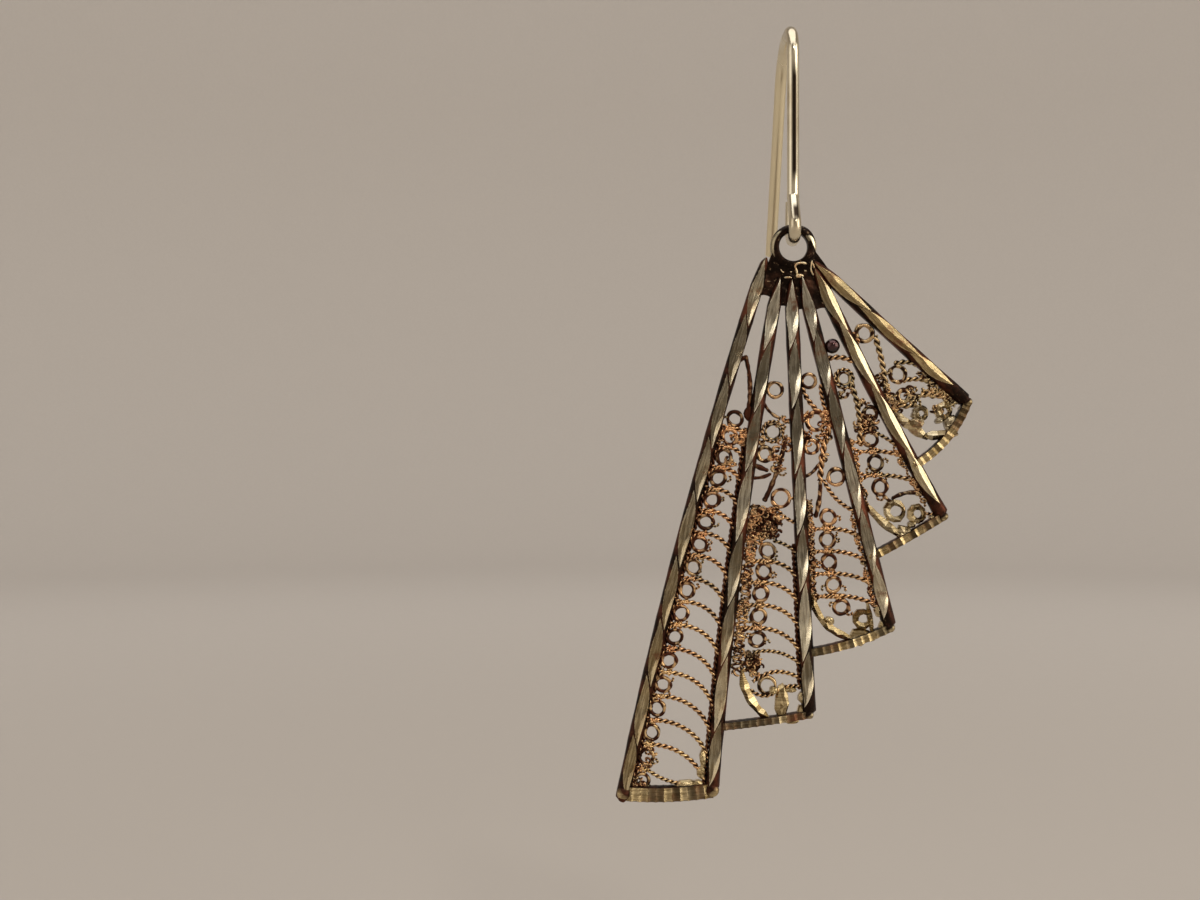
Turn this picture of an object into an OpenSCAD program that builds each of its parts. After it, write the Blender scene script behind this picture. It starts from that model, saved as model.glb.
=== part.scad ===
// Fan earring: a filigree drop that hangs by its eye from a bent wire hook.
// Millimetres. Z is up, X runs across the fan, and the front faces -Y.
// The origin is the centre of the hook's wire at its crown, where the ear carries it.

/* [Fan] */
// Width between the feet of the two outer ribs
fan_w = 23.3; // [18:0.1:30]
// Height from the eye's centre down to the corner of the longest rib
fan_h = 37.3; // [30:0.1:46]
// Width of a rib
rib_w = 0.95; // [0.7:0.05:1.2]
// Front to back depth of a rib, up to its cut ridge
rib_deep = 0.86; // [0.7:0.02:0.9]
// Distance between two cuts along a rib
cut_len = 1.9; // [1.4:0.1:3]

/* [Filigree] */
// Width of the filigree wire, seen from the front
wire_w = 0.27; // [0.2:0.01:0.4]
// Front to back depth of the filigree, which lies flush with the ribs' backs
wire_deep = 0.5; // [0.3:0.02:0.6]
// Outer diameter of a filigree ring
ring_d = 1.3; // [1.1:0.05:1.6]
// Diameter of the small ball in the fourth panel
ball_d = 1.05; // [0.7:0.05:1.3]

/* [Bottom strips] */
// Width of the strip that closes a panel
strip_w = 0.58; // [0.4:0.02:0.8]
// Distance between two cuts across a strip
flute_len = 0.53; // [0.4:0.01:0.9]
// Depth of a cut across a strip
flute_deep = 0.1; // [0.04:0.01:0.16]

/* [Eye] */
// Diameter of the hole in the eye
eye_hole = 1.9; // [1.7:0.05:2.2]
// Width of the eye's metal around its hole
eye_wall = 0.6; // [0.45:0.05:0.8]
// Front to back depth of the eye
eye_deep = 0.84; // [0.6:0.02:0.9]
// Thickness of the plate that gathers the ribs below the eye
plate_deep = 0.66; // [0.5:0.02:0.84]
// Running clearance between the eye and the hook's wire
eye_clear = 0.05; // [0.02:0.01:0.1]

/* [Hook] */
// Diameter of the hook's wire
hook_d = 0.8; // [0.7:0.02:0.9]
// Height from the crown down to the wire at the bottom of the loop
hook_drop = 14.24; // [11:0.1:18]
// Height of the loop, from its lowest wire centre up to the kink in the leg
loop_h = 3.04; // [2.6:0.05:4]
// Radius of the two bends at the bottom of the loop
loop_r = 0.8; // [0.7:0.05:1.1]
// Length of the straight stretch between those two bends
loop_flat = 0.5; // [0.3:0.05:0.9]
// Radius of the slight bend where the loop meets the leg
kink_r = 0.6; // [0.5:0.05:1]
// Gap between the wire's cut end and the leg that it is pressed against
end_gap = 0.06; // [0.03:0.01:0.2]
// Radius of the bend between the leg and the crown
crown_r = 1.9; // [1.4:0.1:2.6]
// Length of the straight run at the crown
crown_run = 1.0; // [0.5:0.1:3]
// Radius of the bend between the crown and the tail
back_r = 5; // [4:0.1:7]
// Angle between the tail and the vertical
tail_flare = 29; // [10:1:35]
// Length of the straight tail
tail_len = 12.6; // [9:0.1:16]

/* [Hidden] */

// The leg and the drop hang in one plane, ahead of the crown
hang_y = -crown_r;
wire_z = -hook_drop;
eye_z = wire_z + hook_d / 2 + eye_clear - eye_hole / 2;
loop_z = wire_z + loop_r;
kink_z = wire_z + loop_h;

// Share of a rib's width that its front ridge swings to either side
ridge_swing = 0.26;
// Share of its width that a rib keeps at its pointed top end, and a strip at its front
top_narrow = 0.5;
front_narrow = 0.84;
// The cut front of a rib is sunk this deep into its flat sides, a strip's twice and a knob's three
// times as deep, so that they cross cleanly, and a ledge of this width is left beside them
front_sink = 0.04;
ledge = 0.02;
// How much lower a strip's front lies than a rib's ridge, and a knob's by half of that
strip_drop = 0.03;
// Share of the eye's wall that each of its bevels takes
eye_bevel = 0.3;
// Fronts of the flat layer and of the cuts, seen from the middle of a rib's depth
layer_front = rib_deep / 2 - wire_deep;
cut_front = -rib_deep / 2;
// Sides of a filigree ring, a solder grain, a strip's knob and the eye
ring_sides = 10;
grain_sides = 6;
knob_sides = 8;
eye_sides = 24;
// Sides of the hook's wire, and of a whole turn of its bends
hook_sides = 48;
bend_sides = 96;
// Points along a curved wire, and fewest cuts along a rib
curve_steps = 5;
min_cuts = 4;
// Share of the wire's width by which two soldered pieces run into each other, and share of a rib's
// width by which an arch stops short of its centreline
solder_in = 0.3;
arch_short = 0.25;
// Width of the solder between two rings of a column, against wire_w
solder_size = 1.6;
// How much further out a bend's surface lies than the straight wire's, and the angle by which a
// bend runs past its ends
bend_grow = 0.01;
bend_over = 2;

// Ribs, left to right. Places are shares of fan_w from the eye's centre to the right,
// and shares of fan_h down from it. The bow is a share of fan_w, to the right.
RIBS = [
    // top [across, down], foot [across, down], bow
    [[-0.077, 0.020], [-0.490, 0.990], -0.023],
    [[-0.040, 0.055], [-0.232, 0.970], -0.017],
    [[-0.006, 0.059], [0.046, 0.835], 0],
    [[0.023, 0.052], [0.277, 0.680], 0],
    [[0.060, 0.038], [0.429, 0.481], -0.009],
    [[0.060, 0.027], [0.498, 0.277], -0.004]
];

// Panels between neighbouring ribs: how far down the gather plate closes them, where along the
// left rib the bottom strip ends, the strip's width against strip_w, and how far it sags
PANELS = [
    // web, strip end, strip width, sag
    [0.097, 0.985, 1.90, 0.030],
    [0.116, 0.877, 1.00, 0.010],
    [0.122, 0.859, 1.10, 0.040],
    [0.120, 0.798, 1.10, 0.010],
    [0.082, 0.794, 1.10, 0.090]
];

// Columns of rings, every second ring tied to the rib on its left, with arched wires from between
// the rings to the rib on their right. Places are shares across the panel and down the fan.
COLUMNS = [
    // panel, rings, from [across, down], to [across, down], bend, ease, arches, their fall
    [0, 17, [0.47, 0.307], [0.18, 0.955], -0.06, 1.08, 15, 0.80],
    [1, 5, [0.47, 0.543], [0.39, 0.702], -0.03, 1.05, 4, 0.80],
    [2, 5, [0.45, 0.483], [0.46, 0.644], -0.08, 1.00, 4, 0.50],
    [3, 3, [0.49, 0.343], [0.36, 0.429], 0.00, 1.00, 2, 0.45]
];

// Single rings: panel, place, size against ring_d, wire against wire_w, and the side that each is
// tied to by a short bar (0 the left rib, 1 the right rib, -1 none, as other wires hold it)
RINGS = [
    // panel, [across, down], size, wire, tie
    [1, [0.42, 0.255], 0.95, 0.9, 0],
    [1, [0.44, 0.330], 1.25, 1.5, 0],
    [1, [0.30, 0.370], 0.95, 1.1, 0],
    [1, [0.66, 0.449], 1.12, 1.0, 1],
    [1, [0.53, 0.784], 1.05, 1.0, -1],
    [2, [0.43, 0.239], 0.90, 0.9, 0],
    [2, [0.47, 0.311], 1.15, 1.1, 0],
    [2, [0.30, 0.357], 0.90, 1.0, 0],
    [2, [0.71, 0.411], 1.03, 1.0, 1],
    [2, [0.70, 0.665], 1.03, 1.2, -1],
    [3, [0.42, 0.235], 1.08, 1.0, 0],
    [3, [0.69, 0.297], 0.90, 1.1, -1],
    [3, [0.44, 0.472], 1.15, 1.2, -1],
    [3, [0.70, 0.477], 1.00, 1.4, 1],
    [4, [0.43, 0.154], 1.10, 1.2, 0],
    [4, [0.46, 0.227], 1.03, 1.0, -1],
    [4, [0.32, 0.266], 0.85, 1.2, 0],
    [4, [0.37, 0.297], 0.85, 1.2, -1],
    [4, [0.64, 0.293], 0.90, 1.2, -1]
];

// Bowed wires: panel, both ends as shares across the panel and down the fan, the bow to the right
// of the way from the first end to the second as a share of the wire's length, and its width
// against wire_w
WIRES = [
    // panel, from [across, down], to [across, down], bow, width
    [0, [0.00, 0.213], [0.32, 0.196], 0.00, 1.2],
    [0, [0.32, 0.193], [0.77, 0.293], -0.06, 1.3],
    [0, [0.22, 0.934], [0.80, 0.960], 0.10, 1.1],
    [1, [0.08, 0.262], [0.60, 0.306], 0.16, 1.0],
    [1, [0.74, 0.340], [0.36, 0.455], -0.04, 2.0],
    [1, [0.00, 0.386], [0.40, 0.400], 0.00, 1.3],
    [1, [0.00, 0.411], [0.46, 0.405], 0.10, 1.0],
    [1, [0.57, 0.463], [0.90, 0.492], 0.10, 1.1],
    [1, [0.55, 0.525], [0.92, 0.548], -0.08, 1.1],
    [1, [0.34, 0.725], [0.92, 0.745], -0.12, 1.1],
    [1, [0.36, 0.778], [0.92, 0.772], -0.18, 1.2],
    [1, [0.34, 0.792], [0.66, 0.792], 0.22, 1.1],
    [1, [0.62, 0.795], [0.92, 0.786], -0.10, 1.1],
    [1, [0.22, 0.755], [0.58, 0.845], 0.13, 2.0],
    [2, [0.18, 0.260], [0.62, 0.294], 0.08, 1.1],
    [2, [0.82, 0.250], [0.80, 0.292], 0.00, 1.0],
    [2, [0.43, 0.336], [0.58, 0.356], 0.00, 1.0],
    [2, [0.82, 0.318], [0.40, 0.418], 0.05, 1.8],
    [2, [0.40, 0.418], [0.24, 0.484], -0.04, 1.3],
    [2, [0.06, 0.412], [0.40, 0.388], 0.12, 1.0],
    [2, [0.46, 0.416], [0.94, 0.474], 0.10, 1.2],
    [2, [0.80, 0.636], [0.78, 0.695], 0.00, 1.3],
    [2, [0.10, 0.622], [0.54, 0.700], 0.16, 1.9],
    [3, [0.04, 0.202], [0.96, 0.214], -0.16, 1.5],
    [3, [0.55, 0.240], [0.28, 0.350], -0.06, 1.6],
    [3, [0.00, 0.345], [0.45, 0.352], 0.00, 1.0],
    [3, [0.60, 0.330], [0.92, 0.362], -0.05, 1.1],
    [3, [0.46, 0.450], [0.94, 0.443], -0.12, 1.2],
    [3, [0.36, 0.440], [0.46, 0.456], 0.10, 1.0],
    [3, [0.08, 0.455], [0.46, 0.522], 0.06, 2.0],
    [4, [0.62, 0.158], [0.16, 0.254], -0.03, 1.7],
    [4, [0.26, 0.222], [0.38, 0.228], 0.00, 1.2],
    [4, [0.54, 0.208], [0.86, 0.234], -0.20, 1.4],
    [4, [0.50, 0.243], [0.86, 0.248], -0.12, 1.4],
    [4, [0.40, 0.272], [0.80, 0.270], -0.14, 1.6],
    [4, [0.14, 0.262], [0.40, 0.280], 0.22, 1.5],
    [4, [0.06, 0.290], [0.26, 0.342], 0.02, 2.2],
    [4, [0.22, 0.338], [0.57, 0.334], 0.00, 2.2]
];

// Edge wires that run along a rib: panel, side (0 the left rib, 1 the right rib), the shares down
// the fan where they begin and end, and their width against wire_w
EDGES = [
    // panel, side, from down, to down, width
    [0, 0, 0.315, 0.960, 1.0],
    [0, 1, 0.325, 0.968, 1.0],
    [1, 0, 0.458, 0.762, 3.0],
    [1, 1, 0.530, 0.790, 1.2],
    [2, 0, 0.452, 0.650, 1.9],
    [2, 1, 0.470, 0.650, 1.5],
    [3, 0, 0.345, 0.463, 1.3],
    [3, 1, 0.345, 0.455, 1.5],
    [4, 0, 0.236, 0.308, 2.9],
    [4, 1, 0.210, 0.270, 1.9]
];

// Solder grains: panel, place, and width and height against ring_d
GRAINS = [
    // panel, [across, down], width, height
    [0, [0.86, 0.297], 0.75, 0.85],
    [0, [0.72, 0.967], 1.60, 0.80],
    [1, [0.40, 0.495], 1.85, 2.00],
    [1, [0.35, 0.745], 1.10, 1.30],
    [1, [0.70, 0.815], 0.75, 1.90],
    [2, [0.77, 0.308], 0.85, 0.95],
    [2, [0.20, 0.342], 0.80, 0.70],
    [2, [0.62, 0.697], 1.20, 0.90],
    [3, [0.53, 0.317], 1.10, 1.20],
    [3, [0.44, 0.510], 0.80, 0.80],
    [4, [0.12, 0.164], 0.50, 0.70],
    [4, [0.25, 0.315], 0.85, 0.75],
    [4, [0.60, 0.313], 0.95, 1.00]
];

// The ball sits in the fourth panel, at these shares across it and down the fan
BALL_PANEL = 3;
BALL_AT = [0.41, 0.177];

function mix(a, b, t) = a + (b - a) * t;
function unit(v) = v / norm(v);
function left_of(v) = [-v.y, v.x];

// Rise of a bow at a share of its length: 0 at both ends and 1 in the middle
function bow_rise(t) = 4 * t * (1 - t);

// Place on a rib's centreline, in the plane of the fan as [across, up], at a share of its length
function rib_at(i, t) =
    let (top = RIBS[i][0], foot = RIBS[i][1], bow = RIBS[i][2], place = mix(top, foot, t))
        [fan_w * (place.x + bow * bow_rise(t)), -fan_h * place.y];
function rib_share(i, down) =
    let (top = RIBS[i][0], foot = RIBS[i][1])
        (down - top.y) / (foot.y - top.y);
function rib_level(i, down) = rib_at(i, rib_share(i, down));
function rib_len(i) = norm(rib_at(i, 1) - rib_at(i, 0));
function rib_heading(i, t, step = 0.01) = unit(rib_at(i, t + step) - rib_at(i, t - step));

// Place in a panel, at a share across it between the two ribs and a share down the fan
function spot(p, at) = mix(rib_level(p, at.y), rib_level(p + 1, at.y), at.x);

// Curve between two places, bowed to the right of the way along it
function bowed(a, b, bow, steps) = [
    for (k = [0 : steps])
        let (t = k / steps)
            mix(a, b, t) - left_of(b - a) * bow * bow_rise(t)
];

// Heading at a point of a path, and the outline of a flat wire that follows the path, which may
// begin narrower or wider by a factor
function path_heading(path, k) = unit(path[min(k + 1, len(path) - 1)] - path[max(k - 1, 0)]);
function side_step(path, k, w, first) = left_of(path_heading(path, k)) * w * (k == 0 ? first : 1) / 2;
function ribbon(path, w, first = 1) = concat(
    [for (k = [0 : len(path) - 1]) path[k] + side_step(path, k, w, first)],
    [for (k = [len(path) - 1 : -1 : 0]) path[k] - side_step(path, k, w, first)]
);

// Solid through cross-sections that all have the same number of points
module loft(sections) {
    n = len(sections[0]);
    m = len(sections);
    sides = [
        for (i = [0 : m - 2], j = [0 : n - 1])
            let (a = i * n + j, b = i * n + (j + 1) % n)
                each [[a, a + n, b], [b, a + n, b + n]]
    ];
    start = [[for (j = [0 : n - 1]) j]];
    finish = [[for (j = [n - 1 : -1 : 0]) (m - 1) * n + j]];
    polyhedron([for (s = sections) each s], concat(sides, start, finish), convexity = 4);
}

// Point of a cross-section, from a place in the fan's plane, a side step and a depth
function section_point(place, heading, step, depth) =
    let (q = place + left_of(heading) * step)
        [q.x, depth, q.y];

// Ribs: flat sides, and a front ridge that swings from side to side, so that each cut leaves a
// lens-shaped facet
function rib_cuts(i) = max(min_cuts, round(rib_len(i) / cut_len));

module rib_sides(i) {
    cuts = rib_cuts(i);
    polygon(ribbon([for (k = [0 : cuts]) rib_at(i, k / cuts)], rib_w, top_narrow));
}

function ridge_section(i, k, cuts) =
    let (
        end = ledge / rib_len(i),
        t = mix(end, 1 - end, k / cuts),
        place = rib_at(i, t),
        heading = rib_heading(i, t),
        half = (rib_w / 2 - ledge) * (k == 0 ? top_narrow : 1),
        swing = (k % 2 == 0 ? 2 : -2) * ridge_swing,
        base = layer_front + front_sink
    ) [
        section_point(place, heading, -half, base),
        section_point(place, heading, half, base),
        section_point(place, heading, half * swing, cut_front)
    ];

module rib_ridge(i) {
    cuts = rib_cuts(i);
    loft([for (k = [0 : cuts]) ridge_section(i, k, cuts)]);
}

// Strips across the bottom of the panels, cut across their length, with a blunt knob at each end
function strip_start(p) = rib_at(p, PANELS[p][1]);
function strip_width(p) = strip_w * PANELS[p][2];
function strip_path(p) =
    let (a = strip_start(p), b = rib_at(p + 1, 1), sag = PANELS[p][3])
        bowed(a, b, sag, 2 * round(norm(b - a) / flute_len));

module strip_sides(p) {
    polygon(ribbon(strip_path(p), strip_width(p)));
    for (end = [0, 1])
        knob_outline(p, end, 1);
}

function flute_section(path, k, w) =
    let (
        half = w / 2 - ledge,
        heading = path_heading(path, k),
        front = cut_front + strip_drop + (k % 2 == 0 ? flute_deep : 0),
        base = layer_front + 2 * front_sink
    ) [
        section_point(path[k], heading, -half, base),
        section_point(path[k], heading, half, base),
        section_point(path[k], heading, half * front_narrow, front),
        section_point(path[k], heading, -half * front_narrow, front)
    ];

module strip_flutes(p) {
    path = strip_path(p);
    loft([for (k = [0 : len(path) - 2]) flute_section(path, k, strip_width(p))]);
}

module knob_outline(p, end, size) {
    translate(end == 0 ? strip_start(p) : rib_at(p + 1, 1))
        circle(d = size * min(strip_width(p), rib_w), $fn = knob_sides);
}

module strip_knob(p, end) {
    hull() {
        in_plane(3 * front_sink, layer_front)
            knob_outline(p, end, front_narrow);
        in_plane(rib_deep / 2, cut_front + strip_drop / 2)
            knob_outline(p, end, top_narrow);
    }
}

// Flat pieces are drawn in the fan's plane as [across, up] and raised backwards from a front face
module in_plane(deep, front) {
    translate([0, front + deep, 0])
        rotate([90, 0, 0])
            linear_extrude(deep)
                children();
}

module flat_ring(place, size, wire) {
    translate(place)
        difference() {
            circle(d = size, $fn = ring_sides);
            circle(d = size - 2 * wire, $fn = ring_sides);
        }
}

module flat_wire(path, size) {
    polygon(ribbon(path, wire_w * size));
}

module flat_grain(place, wide, tall) {
    translate(place)
        scale([wide / 2, tall / 2])
            circle(1, $fn = grain_sides);
}

// Distance from a ring's centre at which a bar begins that is soldered into the ring's wire
function wire_reach(size) = size / 2 - wire_w * (1 - solder_in);

// Short bar from a ring's edge to the rib beside it
module tie_bar(place, size, rib_place) {
    flat_wire([place + unit(rib_place - place) * wire_reach(size), rib_place], 1);
}

// A column of rings with the solder between them and its arches
function column_spot(p, from, to, bend, t) = spot(p, mix(from, to, t) + [bend * bow_rise(t), 0]);

function arch(p, start, fall) =
    let (
        down = -start.y / fan_h,
        level = rib_level(p + 1, down),
        low = down + fall * (level.x - start.x) / fan_h,
        end = rib_level(p + 1, low) - [rib_w * arch_short, 0]
    ) [
        for (k = [0 : curve_steps])
            let (a = 90 * k / curve_steps)
                [mix(start.x, end.x, sin(a)), mix(end.y, start.y, cos(a))]
    ];

module ring_column(p, rings, from, to, bend, ease, arches, fall) {
    last = rings - 1;
    places = [for (k = [0 : last]) column_spot(p, from, to, bend, pow(k / last, ease))];
    for (k = [0 : last]) {
        flat_ring(places[k], ring_d, wire_w);
        if (k % 2 == 0)
            tie_bar(places[k], ring_d, rib_level(p, -places[k].y / fan_h));
    }
    for (k = [0 : last - 1]) {
        above = places[k];
        below = places[k + 1];
        middle = (above + below) / 2;
        reach = unit(below - above) * wire_reach(ring_d);
        flat_wire([above + reach, below - reach], solder_size);
        if (k < arches)
            flat_wire(arch(p, middle, fall), 1);
    }
}

module single_ring(p, at, size, heavy, tie) {
    place = spot(p, at);
    flat_ring(place, ring_d * size, wire_w * heavy);
    if (tie >= 0)
        tie_bar(place, ring_d * size, spot(p, [tie, at.y]));
}

module bowed_wire(p, from, to, bow, size) {
    flat_wire(bowed(spot(p, from), spot(p, to), bow, bow == 0 ? 1 : curve_steps - 1), size);
}

module edge_wire(p, side, from, to, size) {
    lean = side == 0 ? 1 : -1;
    out = rib_w / 2 + wire_w * (size / 2 - solder_in);
    i = p + side;
    flat_wire([
        for (k = [0 : curve_steps])
            let (t = rib_share(i, mix(from, to, k / curve_steps)))
                rib_at(i, t) + left_of(rib_heading(i, t)) * out * lean
    ], size);
}

module filigree() {
    for (c = COLUMNS)
        ring_column(c[0], c[1], c[2], c[3], c[4], c[5], c[6], c[7]);
    for (r = RINGS)
        single_ring(r[0], r[1], r[2], r[3], r[4]);
    for (w = WIRES)
        bowed_wire(w[0], w[1], w[2], w[3], w[4]);
    for (e = EDGES)
        edge_wire(e[0], e[1], e[2], e[3], e[4]);
    for (g = GRAINS)
        flat_grain(spot(g[0], g[1]), ring_d * g[2], ring_d * g[3]);
    tie_bar(spot(BALL_PANEL, BALL_AT), ball_d, spot(BALL_PANEL, [0, BALL_AT.y]));
}

module small_ball() {
    place = spot(BALL_PANEL, BALL_AT);
    translate([place.x, 0, place.y])
        sphere(d = ball_d, $fn = ring_sides);
}

// Plate of solder that gathers the ribs below the eye, with the eye's hole kept clear
module gather_plate() {
    outer = eye_hole / 2 + eye_wall;
    in_plane(plate_deep, -plate_deep / 2)
        difference() {
            polygon([
                [-outer, 0],
                for (p = [0 : len(PANELS) - 1], side = [0, 1])
                    rib_level(p + side, PANELS[p][0]),
                [outer, 0]
            ]);
            circle(d = eye_hole + eye_wall, $fn = eye_sides);
        }
}

module eye() {
    inner = eye_hole / 2;
    half = eye_deep / 2;
    edge = eye_wall * eye_bevel;
    rotate([90, 0, 0])
        rotate_extrude($fn = eye_sides)
            polygon([
                [inner, -half + edge],
                [inner + edge, -half],
                [inner + eye_wall - edge, -half],
                [inner + eye_wall, -half + edge],
                [inner + eye_wall, half - edge],
                [inner + eye_wall - edge, half],
                [inner + edge, half],
                [inner, half - edge]
            ]);
}

module fan_drop() {
    color("#9a8a66")
        translate([0, hang_y, eye_z]) {
            eye();
            gather_plate();
            in_plane(wire_deep, layer_front) {
                for (i = [0 : len(RIBS) - 1])
                    rib_sides(i);
                for (p = [0 : len(PANELS) - 1])
                    strip_sides(p);
                filigree();
            }
            for (i = [0 : len(RIBS) - 1])
                rib_ridge(i);
            for (p = [0 : len(PANELS) - 1]) {
                strip_flutes(p);
                for (end = [0, 1])
                    strip_knob(p, end);
            }
            small_ball();
        }
}

// Pieces of the hook's wire lie in the plane x = 0, with places given as [y, z]. A bend is a hair
// fatter than the straight wire and runs a little past both its ends, so that the pieces overlap.
module straight_wire(a, b) {
    run = b - a;
    translate([0, a[0], a[1]])
        rotate([-atan2(run[0], run[1]), 0, 0])
            cylinder(h = norm(run), d = hook_d, $fn = hook_sides);
}

// Bend about a centre, from one angle to another, counted from +Y towards +Z
module wire_bend(centre, r, from, to) {
    translate([0, centre[0], centre[1]])
        rotate([90, 0, 90])
            rotate_extrude(angle = to - from + 2 * bend_over, start = from - bend_over, $fn = bend_sides)
                translate([r, 0])
                    circle(d = hook_d + 2 * bend_grow, $fn = hook_sides);
}

function at_angle(centre, r, a) = centre + r * [cos(a), sin(a)];

// Heading of the straight wire that runs from one bend to another that turns the other way
function cross_heading(from_c, from_r, to_c, to_r) =
    let (v = to_c - from_c)
        atan2(v.y, v.x) - asin((from_r + to_r) / norm(v));

// Angle on a bend at which a straight wire leaves it towards a point
function leave_angle(centre, r, point) =
    let (v = point - centre)
        atan2(v.y, v.x) - acos(r / norm(v));

module ear_hook() {
    front_c = [hang_y - loop_flat / 2, loop_z];
    rear_c = [hang_y + loop_flat / 2, loop_z];
    kink_c = [hang_y - kink_r, kink_z];
    heading = cross_heading(front_c, loop_r, kink_c, kink_r);
    cut_end = [hang_y + hook_d + end_gap, kink_z - hook_d / 2];
    rear_a = leave_angle(rear_c, loop_r, cut_end);
    crown_c = [hang_y + crown_r, -crown_r];
    back_c = [crown_c[0] + crown_run, -back_r];
    tail_start = at_angle(back_c, back_r, tail_flare);
    tail_end = tail_start + tail_len * [sin(tail_flare), -cos(tail_flare)];

    color("silver") {
        straight_wire(at_angle(rear_c, loop_r, rear_a), cut_end);
        wire_bend(rear_c, loop_r, -90, rear_a);
        straight_wire([front_c[0], wire_z], [rear_c[0], wire_z]);
        wire_bend(front_c, loop_r, heading + 90, 270);
        straight_wire(at_angle(front_c, loop_r, heading + 90), at_angle(kink_c, kink_r, heading - 90));
        wire_bend(kink_c, kink_r, heading - 90, 0);
        straight_wire([hang_y, kink_z], [hang_y, -crown_r]);
        wire_bend(crown_c, crown_r, 90, 180);
        straight_wire([crown_c[0], 0], [back_c[0], 0]);
        wire_bend(back_c, back_r, tail_flare, 90);
        straight_wire(tail_start, tail_end);
    }
}

ear_hook();
fan_drop();
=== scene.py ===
import math

import bpy
import numpy as np
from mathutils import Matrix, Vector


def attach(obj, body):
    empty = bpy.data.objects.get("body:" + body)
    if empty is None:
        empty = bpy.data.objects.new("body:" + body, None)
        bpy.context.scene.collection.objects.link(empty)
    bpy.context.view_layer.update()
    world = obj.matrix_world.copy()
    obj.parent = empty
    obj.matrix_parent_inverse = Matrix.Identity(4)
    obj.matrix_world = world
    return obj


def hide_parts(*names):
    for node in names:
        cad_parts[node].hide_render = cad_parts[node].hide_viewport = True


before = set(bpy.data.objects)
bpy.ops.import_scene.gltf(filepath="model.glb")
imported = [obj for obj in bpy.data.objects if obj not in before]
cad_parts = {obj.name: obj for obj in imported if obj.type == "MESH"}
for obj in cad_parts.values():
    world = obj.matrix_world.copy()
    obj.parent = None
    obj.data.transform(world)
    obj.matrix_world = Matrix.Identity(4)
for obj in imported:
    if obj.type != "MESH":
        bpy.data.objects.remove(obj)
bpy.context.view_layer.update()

# ---- Sizes of the fan in millimetres, the same as the solids' ----
MM = 0.001
FAN_W = 23.3
FAN_H = 37.3
RIB_W = 0.95
CUT_LEN = 1.9
WIRE_W = 0.27
WIRE_DEEP = 0.5
RING_D = 1.3
BALL_D = 1.05
STRIP_W = 0.58
FLUTE_LEN = 0.53
EYE_HOLE = 1.9
EYE_WALL = 0.6
EYE_DEEP = 0.84
PLATE_DEEP = 0.66
# The eye's centre, and the depths of the ribs' backs, their walls' front edges and their ridges
HANG_Y = -1.9
EYE_Z = -14.74
BACK = 0.43
WALL = -0.05
RIDGE = -0.41
# Middle of the filigree's depth
WIRE_Y = BACK - WIRE_DEEP / 2
# Bevels along the backs of the ribs and of the strips and bands, and how bright their filed backs are
RIB_BEVEL = 0.07
WIRE_BEVEL = 0.06
BACK_TONE = 0.30
# Depth of the strips' front between two flutes, and how much deeper a flute is cut
STRIP_CREST = -0.385
FLUTE_DEEP = 0.11
# How far apart rows of points lie along a rib, and how many rows a flute has
RIB_ROW = 0.12
FLUTE_ROWS = 5
# How far a soldered wire runs into what it meets, as a share of the wire's width
SOLDER_IN = 0.3
# Width of the pale solder that ran round a ring
DROWNED_W = 0.44
# Length of the cross product of a face's diagonals below which the face has no area and is left out
NO_AREA = 1e-7

# Ribs, left to right: top and foot as shares across and down the fan, and the bow to the right
RIBS = [
    ((-0.077, 0.020), (-0.490, 0.990), -0.023),
    ((-0.040, 0.055), (-0.232, 0.970), -0.017),
    ((-0.006, 0.059), (0.046, 0.835), 0),
    ((0.023, 0.052), (0.277, 0.680), 0),
    ((0.060, 0.038), (0.429, 0.481), -0.009),
    ((0.060, 0.027), (0.498, 0.277), -0.004),
]

# Panels: how far down the plate closes them, where the strip ends on the left rib, its width and sag
PANELS = [
    (0.097, 0.985, 1.90, 0.030),
    (0.116, 0.877, 1.00, 0.010),
    (0.122, 0.859, 1.10, 0.040),
    (0.120, 0.798, 1.10, 0.010),
    (0.082, 0.794, 1.10, 0.090),
]

# How coppery each panel's wires are, from 0, grey-brown, to 1, bright copper
WARMTH = [0.72, 0.55, 0.62, 0.50, 0.30]

# Columns of rings: panel, rings, from, to, bend, ease, arches, their fall
COLUMNS = [
    (0, 17, (0.47, 0.307), (0.18, 0.955), -0.06, 1.08, 15, 0.80),
    (1, 5, (0.47, 0.543), (0.39, 0.702), -0.03, 1.05, 4, 0.80),
    (2, 5, (0.45, 0.483), (0.46, 0.644), -0.08, 1.00, 4, 0.50),
    (3, 3, (0.49, 0.343), (0.36, 0.429), 0.00, 1.00, 2, 0.45),
]

# Single rings: panel, place, size, wire, and the side that a short bar ties each to, or None
RINGS = [
    (1, (0.42, 0.255), 0.95, 0.9, 0),
    (1, (0.44, 0.330), 1.25, 1.5, 0),
    (1, (0.30, 0.370), 0.95, 1.1, 0),
    (1, (0.66, 0.449), 1.12, 1.0, 1),
    (1, (0.53, 0.784), 1.05, 1.0, None),
    (2, (0.43, 0.239), 0.90, 0.9, 0),
    (2, (0.47, 0.311), 1.15, 1.1, 0),
    (2, (0.30, 0.357), 0.90, 1.0, 0),
    (2, (0.71, 0.411), 1.03, 1.0, 1),
    (2, (0.70, 0.665), 1.03, 1.2, None),
    (3, (0.42, 0.235), 1.15, 1.6, 0),
    (3, (0.69, 0.297), 0.90, 1.1, None),
    (3, (0.44, 0.472), 1.15, 1.2, None),
    (3, (0.70, 0.477), 1.00, 1.4, 1),
    (4, (0.43, 0.154), 1.10, 1.2, 0),
    (4, (0.46, 0.227), 1.03, 1.0, None),
    (4, (0.32, 0.266), 0.85, 1.2, 0),
    (4, (0.37, 0.297), 0.85, 1.2, None),
    (4, (0.64, 0.293), 0.90, 1.2, None),
]

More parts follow.
